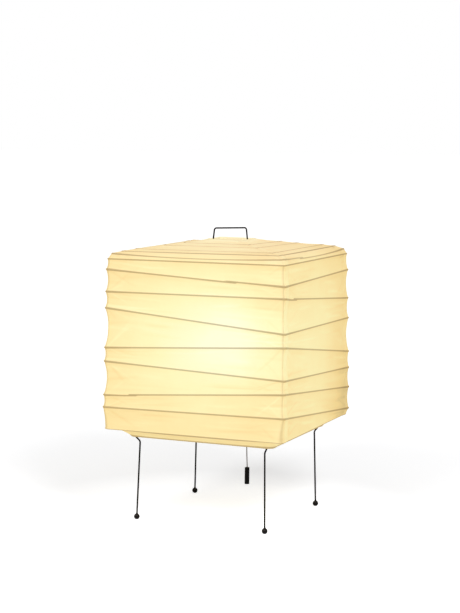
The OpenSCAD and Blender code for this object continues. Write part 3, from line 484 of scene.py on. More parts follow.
moulding = handled(
    "moulded black phenolic", (0.014, 0.0115, 0.0105), (0.2, 0.19, 0.17), (0.2, 0.42), 70, 300, 0.18,
    Coat_Weight=0.25, Coat_Roughness=0.2)


def rounded(corners, radii, steps=6):
    """Closed outline through corners, each cut by a bend of its own radius."""
    corners = np.asarray(corners, float)
    after = np.roll(corners, -1, axis=0)
    ways = unit(after - corners)
    return np.concatenate([
        bend(corner, ways[k - 1], ways[k], r, steps) for k, (corner, r) in enumerate(zip(corners, radii))])


holder_r, holder_wall, holder_bore = 0.02, 0.0014, 0.00505
holder_floor, holder_joint, holder_top = 0.161, 0.179, 0.222
inner_r = holder_r - holder_wall
flute_low, flute_high, flute_depth, flute_count = 0.1815, 0.1955, 0.0004, 48


def fluted(profile, a):
    """Grip flutes round the shell: minus depth times the square of the cosine of a count / 2, fading
    out over 1.2 mm at both ends."""
    z = profile[:, 1]
    share = np.clip((z - flute_low) / 0.0012, 0, 1) * np.clip((flute_high - z) / 0.0012, 0, 1)
    outside = profile[:, 0] > holder_r - 0.0005
    return -flute_depth * (share * outside)[:, None] * np.cos(a * flute_count / 2)[None] ** 2


cap_outline = rounded(
    [[holder_bore, holder_floor], [holder_r, holder_floor], [holder_r, holder_joint - 0.0005],
     [holder_r - 0.0002, holder_joint], [inner_r, holder_joint], [inner_r, holder_floor + 0.003],
     [holder_bore, holder_floor + 0.003]],
    (0.0002, 0.007, 0, 0, 0.0002, 0.0055, 0.0002))
put(turned("lampholder_cap", moulding, cap_outline, sides=96), "holder_black", "holder_cap")
skirt = [[holder_r, z] for z in np.linspace(flute_low - 0.0005, flute_high + 0.0005, 12)]
shell_top = rounded(
    [[holder_r, 0.198], [holder_r, holder_top], [0.01525, holder_top], [0.01525, holder_top - holder_wall],
     [inner_r, holder_top - holder_wall]], (0, 0.002, 0.0004, 0.0003, 0.0008))
shell_outline = np.concatenate([
    [[inner_r, holder_joint], [holder_r - 0.0002, holder_joint], [holder_r, holder_joint + 0.0004]],
    skirt, shell_top])
put(turned("lampholder_shell", moulding, shell_outline, sides=288, wobble=fluted),
    "holder_black", "holder_shell")

porcelain = Finish("glazed porcelain", Coat_Weight=0.6, Coat_Roughness=0.06)
place = porcelain.place()
speck = porcelain.span(porcelain.noise(place, 1400, 2), 0.68, 0.74)
cream = porcelain.ramp(porcelain.noise(place, 120, 3), (0.3, (0.72, 0.69, 0.62)), (0.7, (0.82, 0.79, 0.73)))
porcelain.set(porcelain.shader, {
    "Base Color": porcelain.blend(speck, cream, (0.3, 0.24, 0.18, 1)),
    "Roughness": porcelain.span(porcelain.noise(place, 300, 2), 0.3, 0.7, 0.14, 0.3)})
porcelain.bump(porcelain.noise(place, 260, 3), 0.00006)
wear(porcelain, "holder_core")

brass = handled("brass", (0.56, 0.37, 0.12), (0.35, 0.3, 0.2), (0.22, 0.45), 130, 800, 0.15, Metallic=1.0)
wear(brass, "screw_shell", "centre_contact", "terminal_screws", "core_screws")

# ---------------------------------------------------------------------------------------------
# Pull switch. A moulded housing on the side of the lampholder, with a brass bush in its floor. A
# spring holds up the plunger, whose eye carries a small ring.

switch_x = 0.031
wear(moulding, "switch_housing")
wear(brass, "switch_bush", "switch_contacts", "pull_plunger", "pull_link")
spring_steel = handled(
    "spring steel", (0.42, 0.42, 0.42), (0.3, 0.3, 0.28), (0.25, 0.4), 200, 900, 0.1, Metallic=1.0)
spring_r, spring_thickness, spring_turns = 0.003, 0.0006, 7
spring_floor, spring_seat, spring_rise, spring_give = 0.169, 0.1693, 0.0174, 0.548
t = np.linspace(0, spring_turns * 2 * math.pi, spring_turns * 28 + 1)
line = np.stack([
    switch_x + spring_r * np.cos(t), spring_r * np.sin(t),
    spring_seat + spring_thickness / 2 + (spring_rise - spring_thickness) * t / t[-1]], 1)
spring = put(wire("coil_spring", spring_steel, line, spring_thickness, 12, (0, 0, 1)),
             "zinc_steel", "return_spring")
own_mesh(spring)

# ---------------------------------------------------------------------------------------------
# Pull cord. Three strands of grey-brown cotton, laid together, hang from a crimped brass ferrule
# and end in a turned black knob. Cord and knob show under the shade.

CORD = np.array([[31, 0, 140], [30.8, 0, 132], [30.6, 0, 122], [30.6, 0, 110], [30.9, 0, 98],
                 [31.4, 0, 86], [31.8, 0, 76]]) * 0.001
cord_thickness = 0.0016


def curve_through(points, count):
    """Smooth curve through points: half of (2 p1 + (p2 - p0) f + (2 p0 - 5 p1 + 4 p2 - p3) f f
    + (3 p1 - p0 - 3 p2 + p3) f f f), f being the share of the way from p1 to p2."""
    last = len(points) - 1
    t = np.linspace(0, last, count)
    i = np.minimum(t.astype(int), last - 1)
    f = (t - i)[:, None]
    p0, p1, p2, p3 = (points[np.clip(i + k, 0, last)] for k in (-1, 0, 1, 2))
    return 0.5 * (2 * p1 + (p2 - p0) * f + (2 * p0 - 5 * p1 + 4 * p2 - p3) * f ** 2
                  + (3 * p1 - p0 - 3 * p2 + p3) * f ** 3)


def laid_cord(line, thickness, strands, lay, sides):
    """Rope surface: the radius is thickness / 2 where a strand crowns and 16% less between two
    strands, and the strands turn once in each length of lay."""
    a = np.linspace(0, 2 * math.pi, sides, endpoint=False)
    crown = np.abs(np.cos(strands / 2 * (a[None] - 2 * math.pi * lengths(line)[:, None] / lay)))
    radius = thickness / 2 * (0.84 + 0.16 * crown ** 0.7)
    return tube(line, radius, sides, (0, 1, 0))


cotton = Finish("grey-brown cotton cord", Roughness=0.92, Sheen_Weight=0.25)
yarn = cotton.add("ShaderNodeTexWave", {
    "Vector": cotton.stretched(1, 0.0012, 1), "Scale": 900.0, "Distortion": 1.5, "Detail": 2.0,
    "Detail Scale": 2.0}, wave_type="BANDS", bands_direction="DIAGONAL").outputs["Fac"]
fuzz = cotton.noise(cotton.place(), 5200, 2)
cotton.set(cotton.shader, {"Base Color": cotton.ramp(
    cotton.sum("ADD", cotton.sum("MULTIPLY", yarn, 0.6), cotton.sum("MULTIPLY", fuzz, 0.4)),
    (0.15, (0.085, 0.065, 0.048)), (0.6, (0.2, 0.165, 0.13)), (0.9, (0.36, 0.31, 0.25)))})
cotton.bump(cotton.sum("ADD", yarn, fuzz), 0.00012)

cord_sides = 30
line = curve_through(CORD, 300)
pull_cord = surface("cotton_cord", laid_cord(line, cord_thickness, 3, 0.0042, cord_sides), cotton,
                    poles=(line[0], line[-1]), uv=unrolled(lengths(line), cord_sides))
put(pull_cord, "pull_cord", "pull_cord", body="cord")

knob_finish = handled(
    "turned black knob", (0.003, 0.0024, 0.002), (0.06, 0.05, 0.045), (0.35, 0.55), 110, 420, 0.05,
    0.00001, Specular_IOR_Level=0.12)
knob_r, knob_low, knob_top = 0.00375, 0.049, 0.076
knob_outline = rounded(
    [[0, knob_low], [knob_r, knob_low], [knob_r, knob_top - 0.0005], [knob_r * 0.55, knob_top - 0.0003],
     [knob_r * 0.4, knob_top], [0, knob_top]], (0, 0.0005, 0.0006, 0.0003, 0, 0), 8)
knob = put(turned("knob", knob_finish, knob_outline, (CORD[-1, 0], 0, 0), 48, False),
           "knob_black", "pull_knob", body="cord")
wear(brass, "cord_ferrule")

# ---------------------------------------------------------------------------------------------
# Bulb. An opal glass bulb, lit warm white, on a rolled aluminium screw cap with a black glass
# insulator and a soldered contact.

opal = Finish("lit opal glass", Roughness=0.25, Base_Color=(0.93, 0.9, 0.84, 1), Emission_Strength=2.4)
lit = opal.span(opal.parts(opal.place())[2], 0.212, 0.29)
opal.set(opal.shader, {"Emission Color": opal.ramp(
    lit, (0.0, (0.75, 0.52, 0.25)), (0.35, (1.0, 0.8, 0.5)), (1.0, (1.0, 0.9, 0.66)))})

bulb_low, bulb_middle, bulb_r, neck_r = 0.1956, 0.2756, 0.03, 0.0127
glass_low = bulb_low + 0.019
t = np.linspace(math.radians(-36), math.pi / 2, 40)
globe = np.stack([bulb_r * np.cos(t), bulb_middle + bulb_r * np.sin(t)], 1)
# The waist is a cubic curve from the neck up to the globe
start, stop = globe[0], np.array([neck_r, glass_low + 0.018])
pull_in, pull_up = start - np.array([0.36, 0.5]) * bulb_r, stop + [0, 0.012]
f = np.linspace(1, 0, 26)[:, None]
waist = ((1 - f) ** 3 * start + 3 * (1 - f) ** 2 * f * pull_in + 3 * (1 - f) * f ** 2 * pull_up
         + f ** 3 * stop)
glass_outline = np.concatenate([
    [[0, glass_low], [neck_r * 0.8, glass_low], [neck_r, glass_low + 0.0005]], waist[:-1], globe[:-1],
    [[0, bulb_middle + bulb_r]]])
put(turned("opal_bulb", opal, glass_outline, sides=96, joined=False, smooth=60),
    "opal_glass", "bulb_glass", body="bulb")

aluminium = handled(
    "rolled aluminium", (0.6, 0.6, 0.59), (0.4, 0.4, 0.38), (0.28, 0.5), 160, 900, 0.1, Metallic=1.0)
cap_low, cap_high, cap_r = bulb_low + 0.004, bulb_low + 0.025, 0.0131
thread_depth, thread_pitch = 0.00045, 0.00363


def rolled_cap(rows=180, sides=96):
    """Lamp cap: height rises row by row, and between its plain rims the radius follows a thread,
    thread_depth times the sine of the turn minus height over thread_pitch. The foot is drawn in."""
    z = np.linspace(cap_low, cap_high, rows)[:, None]
    a = np.linspace(0, 2 * math.pi, sides, endpoint=False)[None]
    share = np.clip((z - cap_low - 0.0012) / 0.002, 0, 1) * np.clip((cap_high - 0.0025 - z) / 0.002, 0, 1)
    thread = thread_depth * share * (1 - np.sin(a - 2 * math.pi * z / thread_pitch))
    r = cap_r - thread - 0.0012 * np.clip(1 - (z - cap_low) / 0.001, 0, 1) ** 2
    return np.stack([r * np.cos(a), r * np.sin(a), z + 0 * a], 2), ((0, 0, cap_low), (0, 0, cap_high))


grid, poles = rolled_cap()
put(surface("rolled_lamp_cap", grid, aluminium, poles=poles, smooth=50), "lamp_cap", "bulb_cap", body="bulb")
wear(aluminium, "bulb_contact")
black_glass = handled(
    "black glass", (0.012, 0.01, 0.014), (0.1, 0.1, 0.1), (0.08, 0.3), 90, 400, 0.1, Coat_Weight=0.6)
wear(black_glass, "bulb_insulator")
stem = Finish("clear stem glass", Roughness=0.05, IOR=1.5, Base_Color=(0.86, 0.88, 0.87, 1))
stem.set(stem.shader, {"Roughness": stem.span(stem.noise(stem.place(), 400), 0.3, 0.7, 0.04, 0.1)})
wear(stem, "bulb_stem")

# ---------------------------------------------------------------------------------------------
# Rings and ribs. Two steel wire rings hold the paper's openings, and fourteen split bamboo ribs
# run round the shade, bent at its corners and lapped where their ends meet.

# Height of each ring of the shade at the four corners and its reach from the axis, in mm on the
# outside of the paper: lip, top opening, five top ribs, nine side ribs and the lower edge. The
# sides lean in by 3 mm over their height, the two folds stand 1.5 mm further in, and the top is
# up to 1 mm lower on the left and higher on the right.
TOP_RING, FIRST_RIB, UPPER_FOLD, MIDDLE_RING, LOWER_FOLD, HEM = 1, 2, 7, 10, 15, 16
HEIGHT = np.array([
    [433.5] * 4, [436.5] * 4, [431] * 4, [428] * 4, [424.5] * 4, [422] * 4, [417.5] * 4,
    [408, 410, 410, 408], [392, 379, 384, 390], [358, 361, 338, 351], [333, 309, 306, 322],
    [272, 289, 251, 261], [251, 240, 225, 243], [199, 220, 193, 204], [180, 184, 158, 171],
    [146, 147, 149, 148], [132] * 4])
REACH = np.array(
    [[29.4] * 4, [30] * 4, [57, 49, 62, 58], [80, 71, 82, 78], [113] * 4, [129] * 4, [140.5] * 4]
    + [[149.5 - 3 * (z.mean() - 147) / 262] * 4 for z in HEIGHT[UPPER_FOLD:]])
REACH[[UPPER_FOLD, LOWER_FOLD]] -= 1.5
REACH[HEM] = REACH[LOWER_FOLD] - 30
HEIGHT[FIRST_RIB:UPPER_FOLD] += [-1, 1, 1, -1] * ((REACH[FIRST_RIB:UPPER_FOLD].mean(1) - 30) / 115)[:, None]
# The hand-bent corners: the back right one leans in near the top, the lower fold is pulled in, and
# the front left one is low at the third and fourth ribs of the top
HEIGHT[4:6, 0] -= [1.2, 1.9]
REACH[5:12, 2] -= [1.2, 1.6, 2.2, 2.2, 1.6, 1.0, 0.4]
REACH[LOWER_FOLD] -= [0.3, 2.2, 1.4, 1.4]
HEIGHT, REACH = HEIGHT * 0.001, REACH * 0.001
# The last rib of the top hangs down between its corners
SAG = np.where(np.arange(HEM + 1) == UPPER_FOLD - 1, 0.004, 0)
# Radius of the paper's corners at each ring
CORNER_R = np.array([9.8] * 2 + [4.2] * 13 + [9, 10.8]) * 0.001
paper_thickness, glue_gap = 0.0005, 0.0003
rib_thickness, ring_thickness = 0.0016, 0.002
splice_length, splice_lead, splice_thin = 0.014, 0.008, 0.62
# Splice of each rib: its side, from the front one anticlockwise from above, and how far along it is
SPLICES = ((3, 0.6), (2, 0.3), (3, 0.4), (2, 0.7), (1, 0.28), (2, 0.55), (0, 0.71), (1, 0.14), (3, 0.35),
           (2, 0.62), (3, 0.2), (0, 0.17), (2, 0.45), (0, 0.78))


def behind(k, depth):
    """How far in and down from ring k a wire lies that touches the paper on both sides of it."""
    profile = np.stack([REACH.mean(1), HEIGHT.mean(1)], 1)
    d = np.diff(profile, axis=0)
    lean = np.degrees(np.arctan2(d[:, 0], -d[:, 1]))
    before = lean[max(k - 1, 0)]
    after = before if k >= HEM else lean[k]
    after += -360 if after - before > 180 else 360 if after - before < -180 else 0
    middle, half = math.radians((before + after) / 2), math.radians((after - before) / 2)
    return np.array([math.cos(middle), math.sin(middle)]) * depth / math.cos(half)


def sagged(points, sag):
    """Points of a ring, lowered by sag * (1 - (m / n) squared), m being the smaller and n the larger
    of the distances from the axis along X and along Y: all of sag in mid side and none at a corner."""
    off = abs(points[..., :2])
    drop = sag * (1 - (off.min(-1) / off.max(-1)) ** 2)
    return np.concatenate([points[..., :2], points[..., 2:] - drop[..., None]], -1)


def wire_corners(k, thickness):
    """Corners of a wire ring behind ring k of the shade."""
    back = behind(k, paper_thickness + glue_gap + thickness / 2)
    return np.column_stack([CORNERS * (REACH[k] - back[0])[:, None], HEIGHT[k] - back[1]])


def ring_line(k, radius, step=0.004):
    """Middle line of the wire ring behind ring k of the shade, which starts and ends on its left side."""
    corners = wire_corners(k, ring_thickness)
    start = (corners[3] + corners[0]) / 2
    return middle_line([start, *corners, start], [radius] * 4, step)


ring_steel = handled(
    "grey steel ring", (0.06, 0.055, 0.05), (0.2, 0.18, 0.15), (0.35, 0.6), 80, 400, 0.2, Metallic=0.8)
RINGS = ((TOP_RING, 0.008, "top"), (HEM, 0.009, "bottom"))
for k, radius, name in RINGS:
    grid = tube(ring_line(k, radius)[:-1], ring_thickness / 2, 16, (0, 0, 1), joined=True)
    put(surface(name + "_ring_wire", grid, ring_steel, round_rows=True),
        "ring_wire", name + "_opening_ring")


def rib_line(k, splice):
    """Middle line of a rib: once round from its splice, then on beside itself for the lap, where
    both ends are pared down."""
    corners = wire_corners(k, rib_thickness)
    side, share = splice
    order = [corners[(side + c) % 4] for c in (1, 2, 3, 4)]
    along = unit(order[0] - order[3])
    middle = order[3] + (order[0] - order[3]) * share
    to_axis = unit(np.array([-middle[0], -middle[1], 0]))
    rise = (HEIGHT[k - 1] - HEIGHT[k + 1]).mean() / abs(REACH[k + 1] - REACH[k - 1]).mean()
    across = (unit(np.array([to_axis[0], to_axis[1], rise])) if k < UPPER_FOLD
              else np.array([0, 0, 1.0 if k == LOWER_FOLD else -1.0]))
    beside = across * (rib_thickness * splice_thin + 0.0001)
    half = along * splice_length / 2
    line = middle_line(
        [middle - half, *order, middle - half - along * splice_lead + beside, middle + half + beside],
        (CORNER_R[k] - rib_thickness,) * 4 + (0,), 0.006, 7)
    return sagged(line, SAG[k])


bamboo = Finish("split bamboo", Roughness=0.6)
grain = bamboo.noise(bamboo.stretched(60, 9, 1), 6.0, 4, 0.65)
joint_spacing = 0.14
joint = bamboo.sum("PINGPONG", bamboo.parts(bamboo.place("UV"))[0], joint_spacing)
joint = bamboo.span(joint, 0.0, 0.0016, 1, 0)
straw = bamboo.ramp(
    grain, (0.25, (0.26, 0.17, 0.075)), (0.5, (0.44, 0.32, 0.16)), (0.75, (0.6, 0.47, 0.27)))
bamboo.set(bamboo.shader, {
    "Base Color": bamboo.blend(joint, straw, (0.2, 0.12, 0.05, 1)),
    "Roughness": bamboo.span(grain, 0.3, 0.7, 0.5, 0.72)})
bamboo.bump(grain, 0.00015)
rib_lines = {k: rib_line(k, SPLICES[k - FIRST_RIB]) for k in range(FIRST_RIB, HEM)}
for k, line in rib_lines.items():
    name = "rib_%02d" % (k - 1)
    rib = wire("bamboo_" + name, bamboo, line, rib_thickness, 10, (0, 0, 1), 0.25, True,
               (splice_length, splice_thin))
    put(rib, "bamboo", name)

# ---------------------------------------------------------------------------------------------
# Paper sides. Four sheets of handmade paper are glued over the rings and ribs, each from the top
# opening to the lower edge. The front and the back sheet go round their corners and lap 13 mm over
# the other two. Between the ribs the paper is drawn in, most of all at the corners, and creases.

lap, sheet_wall = 0.013, 0.0003
CORNER_DRAW, MIDDLE_DRAW = (0.092, 0.1, 0.068, 0.085), 0.016
crease_height, rib_rise, nub_rise, lap_rise = 0.0003, 0.00018, 0.0008, 0.00035
turned_in, rib_mark, ring_mark = 0.0062, 0.00212, 0.0024
row_step = 0.00175
turn_steps = 10
QUARTER = np.linspace(0, math.pi / 2, turn_steps + 1)
t = np.linspace(0, 1, 82)
SHARES = t - 0.5 * np.sin(2 * math.pi * t) / (2 * math.pi)
LAPS = np.linspace(0, 1, 7)[1:]


def ring_places(side, over):
    """Points of every ring along a side, and the directions along the rings. The first corner's arc
    is A + u r (1 - cos t) + w r (1 - sin t), u and w being the directions from the corner A along
    the side and back along the side before it; the second corner's is its mirror image. A sheet
    that laps over its neighbours takes in both arcs and runs on along w; one that lies under them
    begins and ends in the middle of the arcs."""
    corners = np.concatenate([CORNERS[None] * REACH[..., None], HEIGHT[..., None]], 2)
    a, b = corners[:, side], corners[:, (side + 1) % 4]
    u = unit(b - a)[:, None]
    w0 = unit(corners[:, (side + 3) % 4] - a)[:, None]
    w1 = unit(corners[:, (side + 2) % 4] - b)[:, None]
    size = np.linalg.norm(b - a, axis=1)[:, None, None]
    a, b, r = a[:, None], b[:, None], CORNER_R[:, None, None]
    arc = QUARTER if over else QUARTER[turn_steps // 2:]
    t, q = arc[None, :, None], arc[None, ::-1, None][:, 1:]
    flat = SHARES[None, 1:, None] * (size - 2 * r)
    places = [a + u * r * (1 - np.cos(t)) + w0 * r * (1 - np.sin(t)), a + u * (r + flat),
              b - u * r * (1 - np.cos(q)) + w1 * r * (1 - np.sin(q))]
    ahead = [unit(u * np.sin(t) - w0 * np.cos(t)), np.repeat(u, flat.shape[1], 1),
             unit(u * np.sin(q) + w1 * np.cos(q))]
    if over:
        on = lap * np.minimum(1, size / 0.28) * LAPS[None, :, None]
        places = [a + w0 * (r + on[:, ::-1]), *places, b + w1 * (r + on)]
        ahead = [np.repeat(-w0, len(LAPS), 1), *ahead, np.repeat(w1, len(LAPS), 1)]
    return sagged(np.concatenate(places, 1), SAG[:, None]), np.concatenate(ahead, 1)


def sheet_rows(gap):
    """Shares of the way from one ring to the next: close to both rings for the ribs' lines, and
    about row_step apart between them."""
    near = np.array([0, 0.45, 0.9, 1.4, 2.0, 2.8]) * 0.001
    near = near * min(1, gap * 0.45 / near[-1])
    count = max(2, int((gap - 2 * near[-1]) / row_step))
    middle = np.linspace(near[-1], gap - near[-1], count)[1:-1]
    return np.concatenate([near, middle, gap - near[::-1]]) / gap


def crease_list(corners, depths, gaps, seed):
    """Creases of a sheet, each a place along and down it, half a length, half a width, a slope and
    a height. Long ones lie beside the ribs within 100 mm of the corners, and short ones fan out
    from where each rib turns its corner."""
    draw = np.random.default_rng(seed)
    found = []
    for depth, gap in zip(depths, gaps):
        for corner, way in zip(corners, (1, -1)):
            for _ in range(int(gap / 0.0042)):
                found.append((
                    corner + way * draw.uniform(-0.005, 0.1), depth + gap * draw.uniform(0.1, 0.92),
                    draw.uniform(0.015, 0.055), draw.uniform(0.0011, 0.0023),
                    draw.normal(0, 0.05), draw.choice((-1, 1)) * draw.uniform(0.3, 1)))
            for _ in range(4 if gap > 0.015 else 2):
                half, slope = draw.uniform(0.008, 0.03), draw.uniform(0.12, 0.75)
                from_ring, slope = (0, slope) if draw.random() < 0.6 else (gap, -slope)
                found.append((
                    corner + way * half * 0.9, depth + from_ring + half * 0.9 * slope,
                    half, draw.uniform(0.0008, 0.0015), way * slope,
                    draw.choice((-1, 1)) * draw.uniform(0.5, 1)))
    return found


def creased(along, down, found):
    """Sum over the creases of their height times exp(-(across / width) squared) times
    exp(-(lengthwise / half) to the fourth)."""
    total = np.zeros(np.broadcast_shapes(along.shape, down.shape))
    for a, d, half, width, slope, height in found:
        x, y = along - a, down - d
        size = math.sqrt(1 + slope * slope)
        across, lengthwise = (y - slope * x) / size, (x + slope * y) / size
        total += height * np.exp(-(across / width) ** 2 - (lengthwise / half) ** 4)
    return np.clip(total, -1.5, 1.5)


def distance_to(points, line):
    """Shortest distance from each point to a line of straight pieces."""
    a, b = line[:-1], line[1:]
    ab = b - a
    t = np.clip(((points[:, None] - a) * ab).sum(2) / np.maximum((ab * ab).sum(1), 1e-18), 0, 1)
    return np.linalg.norm(points[:, None] - a - t[..., None] * ab, axis=2).min(1)


def paper_sheet(side):
    """One sheet: from ring to ring a point is p + v (q - p) - n draw 4 v (1 - v) |q - p|, n being
    the outward normal and draw the ratio by which the paper is drawn in there. The marks are, from
    0 to 1: painted shadow of the rib behind the paper, with painted shade of the folds, the corners'
    turns and the turned-in edge; painted shade along the turn of the corner; lap (0.5 none, 1 its
    strip, painted lighter, 0 its edge, painted darker); and painted shade of the creases and of the
    paper below and above each rib, where 0.5 is even."""
    over = side % 2 == 0
    places, ahead = ring_places(side, over)
    along = lengths(places[MIDDLE_RING])
    lead, turn = (len(LAPS), turn_steps) if over else (0, turn_steps // 2)
    # Where the first corner begins and ends, and the second
    ends = [along[i] for i in (lead, lead + turn, lead + turn + len(SHARES) - 1, -1 - lead)]
    far = np.maximum.reduce([
        0 * along, ends[0] - along, np.minimum(along - ends[1], ends[2] - along), along - ends[3]])
    near_corner = np.exp(-(far / 0.030) ** 1.2)
    corner_draw = np.where(along < along[-1] / 2, CORNER_DRAW[side], CORNER_DRAW[(side + 1) % 4])
    middles = ((ends[0] + ends[1]) / 2, (ends[2] + ends[3]) / 2) if over else (ends[0], ends[3])
    half_turn = (ends[1] - ends[0]) / 2
    on_lap = np.clip(np.maximum(middles[0] - along, along - middles[1]) / half_turn, 0, 1) * over
    # Painted light and shade: the lap's strip is lighter and its free edge darker
    strip = np.clip(np.maximum(ends[0] - along, along - ends[3]) / 0.001, 0, 1) * over
    strip_edge = np.exp(-(np.minimum(along, along[-1] - along) / 0.0011) ** 2) * over
    lap_mark = 0.5 + 0.5 * strip - strip_edge * (0.5 + 0.5 * strip)
    mean_gaps = np.linalg.norm(np.diff(places, axis=0), axis=2).mean(1)
    depths = np.concatenate([[0], np.cumsum(mean_gaps)])
    found = crease_list((ends[1], ends[2]), depths[:-1], mean_gaps, 11 + side)
    rows = []
    for k in range(HEM):
        p, q = places[k], places[k + 1]
        gap = np.linalg.norm(q - p, axis=1)
        normal = unit(np.cross(unit(q - p), unit(ahead[k] + ahead[k + 1])))
        v = sheet_rows(gap.max())[:, None]
        v = v if k == HEM - 1 else v[:-1]
        bulge = 4 * v * (1 - v)
        below, above = v * gap, (1 - v) * gap
        on_top, on_side = k < UPPER_FOLD, UPPER_FOLD <= k < LOWER_FOLD
        beside_lower_fold = k == LOWER_FOLD - 1

        down = depths[k] + v * mean_gaps[k]
        crease = creased(along[None], down, found) * np.sqrt(bulge)
        draw = (MIDDLE_DRAW + (corner_draw - MIDDLE_DRAW) * near_corner) * (
            0 if k < TOP_RING else 0.25 if on_top else 0.3 if beside_lower_fold else 1)
        at_rib = np.exp(-(np.minimum(below, above) / 0.0012) ** 2) * (k >= TOP_RING)
        nub = (nub_rise if on_side else 0.0001) * np.exp(-(far / 0.004) ** 2)
        rise = (crease_height * crease * np.minimum(1, gap / 0.02) * (0.45 + 0.55 * near_corner)
                + lap_rise * on_lap + at_rib * (rib_rise + nub))
        drawn = p + v[..., None] * (q - p) - normal * (draw * gap * bulge)[..., None]

        # Painted shade: a darker line along the turn of each corner, bowed with the drawn-in paper
        bow = (0.0012 + 0.0021 * bulge * np.minimum(1, gap / 0.03)) * (0.2 if beside_lower_fold else 1)
        from_bend = np.minimum(abs(along - middles[0] - bow), abs(along - middles[1] + bow))
        bend_mark = (0.25 if on_top else on_side) * np.exp(-(from_bend / 0.0018) ** 2)
        # A fold is a dark line of painted shade, broader on its underside, and the paper's edge is
        # turned in, painted darker where it lies double
        fold = [(width - d) / 0.0006 for d, ring, width in (
            (below, k, 0.0014 if k == UPPER_FOLD else 0.0056),
            (above, k + 1, 0.0014 if on_top else 0.0011)) if ring in (UPPER_FOLD, LOWER_FOLD)]
        edge = np.minimum((turned_in - above) / 0.001, 0.9) * (k == HEM - 1)
        shade = np.clip(np.max([*fold, 0.42 * bend_mark, edge], 0), 0, 1)
        # Painted shade: creases darker and lighter, and the paper darker just below each rib and lighter
        # just above the next, as light from above falls on the drawn-in paper
        relief = np.minimum(1, gap / 0.022) * (1 if on_side else 0.5)
        relief_shade = 0.11 * crease - relief * (0.1 * np.exp(-below / 0.0075) - 0.045 * np.exp(-above / 0.008))
        rows.append((drawn, drawn + normal * rise[..., None], down, shade, bend_mark, relief_shade))
    flat, grid, down, shade, bend_mark, relief_shade = (np.concatenate(x) for x in zip(*rows))
    flat, shade = flat.reshape(-1, 3), shade.ravel()
    # Painted shadows: each rib behind the paper, and the top ring more faintly, shows as a dark line on it
    lines = [(line, rib_mark, 1) for k, line in rib_lines.items() if k not in (UPPER_FOLD, LOWER_FOLD)]
    lines.append((ring_line(TOP_RING, RINGS[0][1], 1.0), ring_mark, 0.3))
    for line, width, strength in lines:
        low, high = line.min(0) - 0.004, line.max(0) + 0.004
        near = np.flatnonzero(((flat > low) & (flat < high)).all(1))
        batches = np.array_split(near, 1 + len(near) // 4000)
        away = np.concatenate([distance_to(flat[batch], line) for batch in batches])
        share = np.clip((width - away) / 0.0005, 0, 1)
        shade[near] = np.maximum(shade[near], strength * share * share * (3 - 2 * share))
    marks = np.stack(np.broadcast_arrays(
        shade.reshape(grid.shape[:2]), bend_mark, lap_mark, np.clip(0.5 + relief_shade / 0.4, 0, 1)), 2)
    return grid, np.stack(np.broadcast_arrays(along[None], -down), 2), marks


washi = Finish("lit handmade paper", Roughness=0.85, Sheen_Weight=0.1, Emission_Strength=1.0)
marks = washi.add("ShaderNodeAttribute", attribute_name="marks", attribute_type="GEOMETRY").outputs
rib_here, bend_here, lap_here = washi.add("ShaderNodeSeparateColor", {0: marks["Color"]}).outputs
place = washi.place()
x, y, z = washi.parts(place)
bulb_height = 0.29


def away_squared(centre):
    """Distance squared from a point inside or on the shade."""
    off = washi.vector("SUBTRACT", place, centre)
    return washi.vector("DOT_PRODUCT", off, off, "Value")


# Light of the bulb through the paper, painted as the paper's glow, with a painted white-hot patch where the
# bulb stands nearest
light = washi.sum("ADD", 0.33, washi.sum("DIVIDE", 0.0032, away_squared((-0.01, -0.03, bulb_height))))
patch_spread = 0.043
patch = washi.sum("DIVIDE", away_squared((0.062, -0.147, 0.295)), -2 * patch_spread ** 2)
patch = washi.sum("EXPONENT", patch, 0.0)
# Painted light and shade: the back right corner darker, the right face lighter, the top dimmer and the lip
# round the opening lighter
far_corner_shade = washi.sum("MULTIPLY", washi.span(y, 0.02, 0.15), washi.span(x, 0.1, 0.146, 0.25, 1))
far_corner_shade = washi.sum("MULTIPLY", far_corner_shade, washi.span(z, 0.2, 0.28, 0.13, 0.07))
right, top, lip = washi.span(x, 0.1, 0.145), washi.span(z, 0.408, 0.43), washi.span(z, 0.4335, 0.436)
for share, more in ((patch, 0.24), (right, 0.03), (far_corner_shade, -1.0), (top, -0.04), (lip, 0.1)):
    light = washi.sum("MULTIPLY_ADD", share, more, light)
fibres = washi.noise(washi.stretched(55, 240, 1), 3.0, 5, 0.7)
clouds = washi.noise(place, 16.0, 4, 0.6)
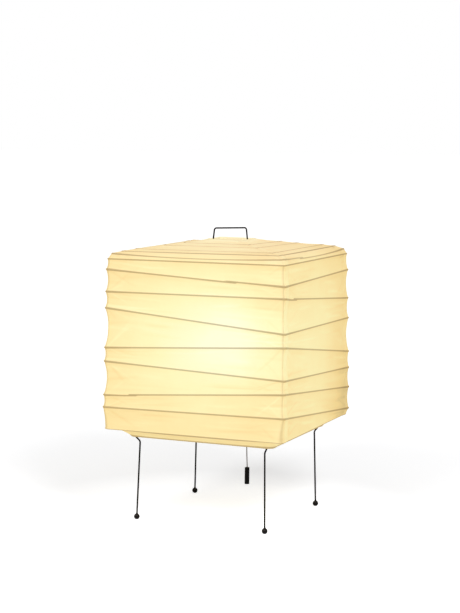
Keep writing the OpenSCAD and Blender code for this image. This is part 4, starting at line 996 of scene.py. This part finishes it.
# The marks scale the glow with painted shade of creases, ribs' undersides and corners' turns, and the lap's
# painted light and shade; clouds and fibres are the paper's own unevenness
for value, low, high, to_low, to_high in (
    (clouds, 0.3, 0.7, 0.96, 1.04), (fibres, 0.3, 0.75, 1.015, 0.98), (marks["Alpha"], 0, 1, 0.8, 1.2),
    (bend_here, 0, 1, 1, 0.93), (lap_here, 0, 1, 0.92, 1.08),
):
    light = washi.sum("MULTIPLY", light, washi.span(value, low, high, to_low, to_high))
through = washi.ramp(
    light, (0.2, (0.5, 0.38, 0.2)), (0.28, (0.71, 0.56, 0.28)), (0.34, (0.905, 0.71, 0.34)),
    (0.4, (0.965, 0.784, 0.4)), (0.46, (0.985, 0.855, 0.46)), (0.52, (0.991, 0.917, 0.52)),
    (0.58, (0.991, 0.943, 0.58)), (0.7, (1.0, 0.991, 0.7)))
# Painted light: the top is tinted bluer, and the right face a little, where the room's white light falls on
# them
tint = washi.blend(top, washi.blend(right, WHITE, (1, 1.01, 1.02, 1)), (1, 1, 1.17, 1))
through = washi.blend(1.0, through, tint, "MULTIPLY")
# The room lights the outside as well, so its share is taken off there and not inside
normal = washi.add("ShaderNodeNewGeometry").outputs["Normal"]
outward = washi.vector("DOT_PRODUCT", washi.vector("SUBTRACT", place, (0, 0, bulb_height)), normal, "Value")
through = washi.blend(washi.span(outward, -0.005, 0.005), through, (0.185, 0.204, 0.196, 1), "SUBTRACT")
# Painted shadows of the ribs, rings and folds, with painted shade of the corners' turns and the turned-in
# edge, darken the glow and the paper's colour
painted_line_shade = washi.blend(rib_here, WHITE, (0.56, 0.51, 0.47, 1))
through = washi.blend(1.0, through, painted_line_shade, "MULTIPLY")
lost = washi.add("ShaderNodeLightPath").outputs["Is Diffuse Ray"]
tone = washi.ramp(fibres, (0.3, (0.225, 0.21, 0.176)), (0.7, (0.262, 0.244, 0.206)))
washi.set(washi.shader, {
    "Emission Color": washi.blend(washi.sum("MULTIPLY", lost, 0.85), through, BLACK),
    "Base Color": washi.blend(1.0, tone, painted_line_shade, "MULTIPLY")})
washi.bump(washi.sum("ADD", washi.noise(place, 700.0, 3, 0.6), fibres), 0.00012, 0.6)

for side, name in enumerate(("front", "right", "back", "left")):
    grid, uv, marks = (rows[::-1] for rows in paper_sheet(side))
    sheet = surface("paper_sheet_" + name, grid, washi, round_columns=False, uv=uv, smooth=180)
    colours = sheet.data.attributes.new("marks", "FLOAT_COLOR", "POINT")
    colours.data.foreach_set("color", marks.astype(np.float32).ravel())
    wall = sheet.modifiers.new("wall", "SOLIDIFY")
    wall.thickness = sheet_wall
    wall.offset = -1
    put(sheet, "paper", "paper_" + name)
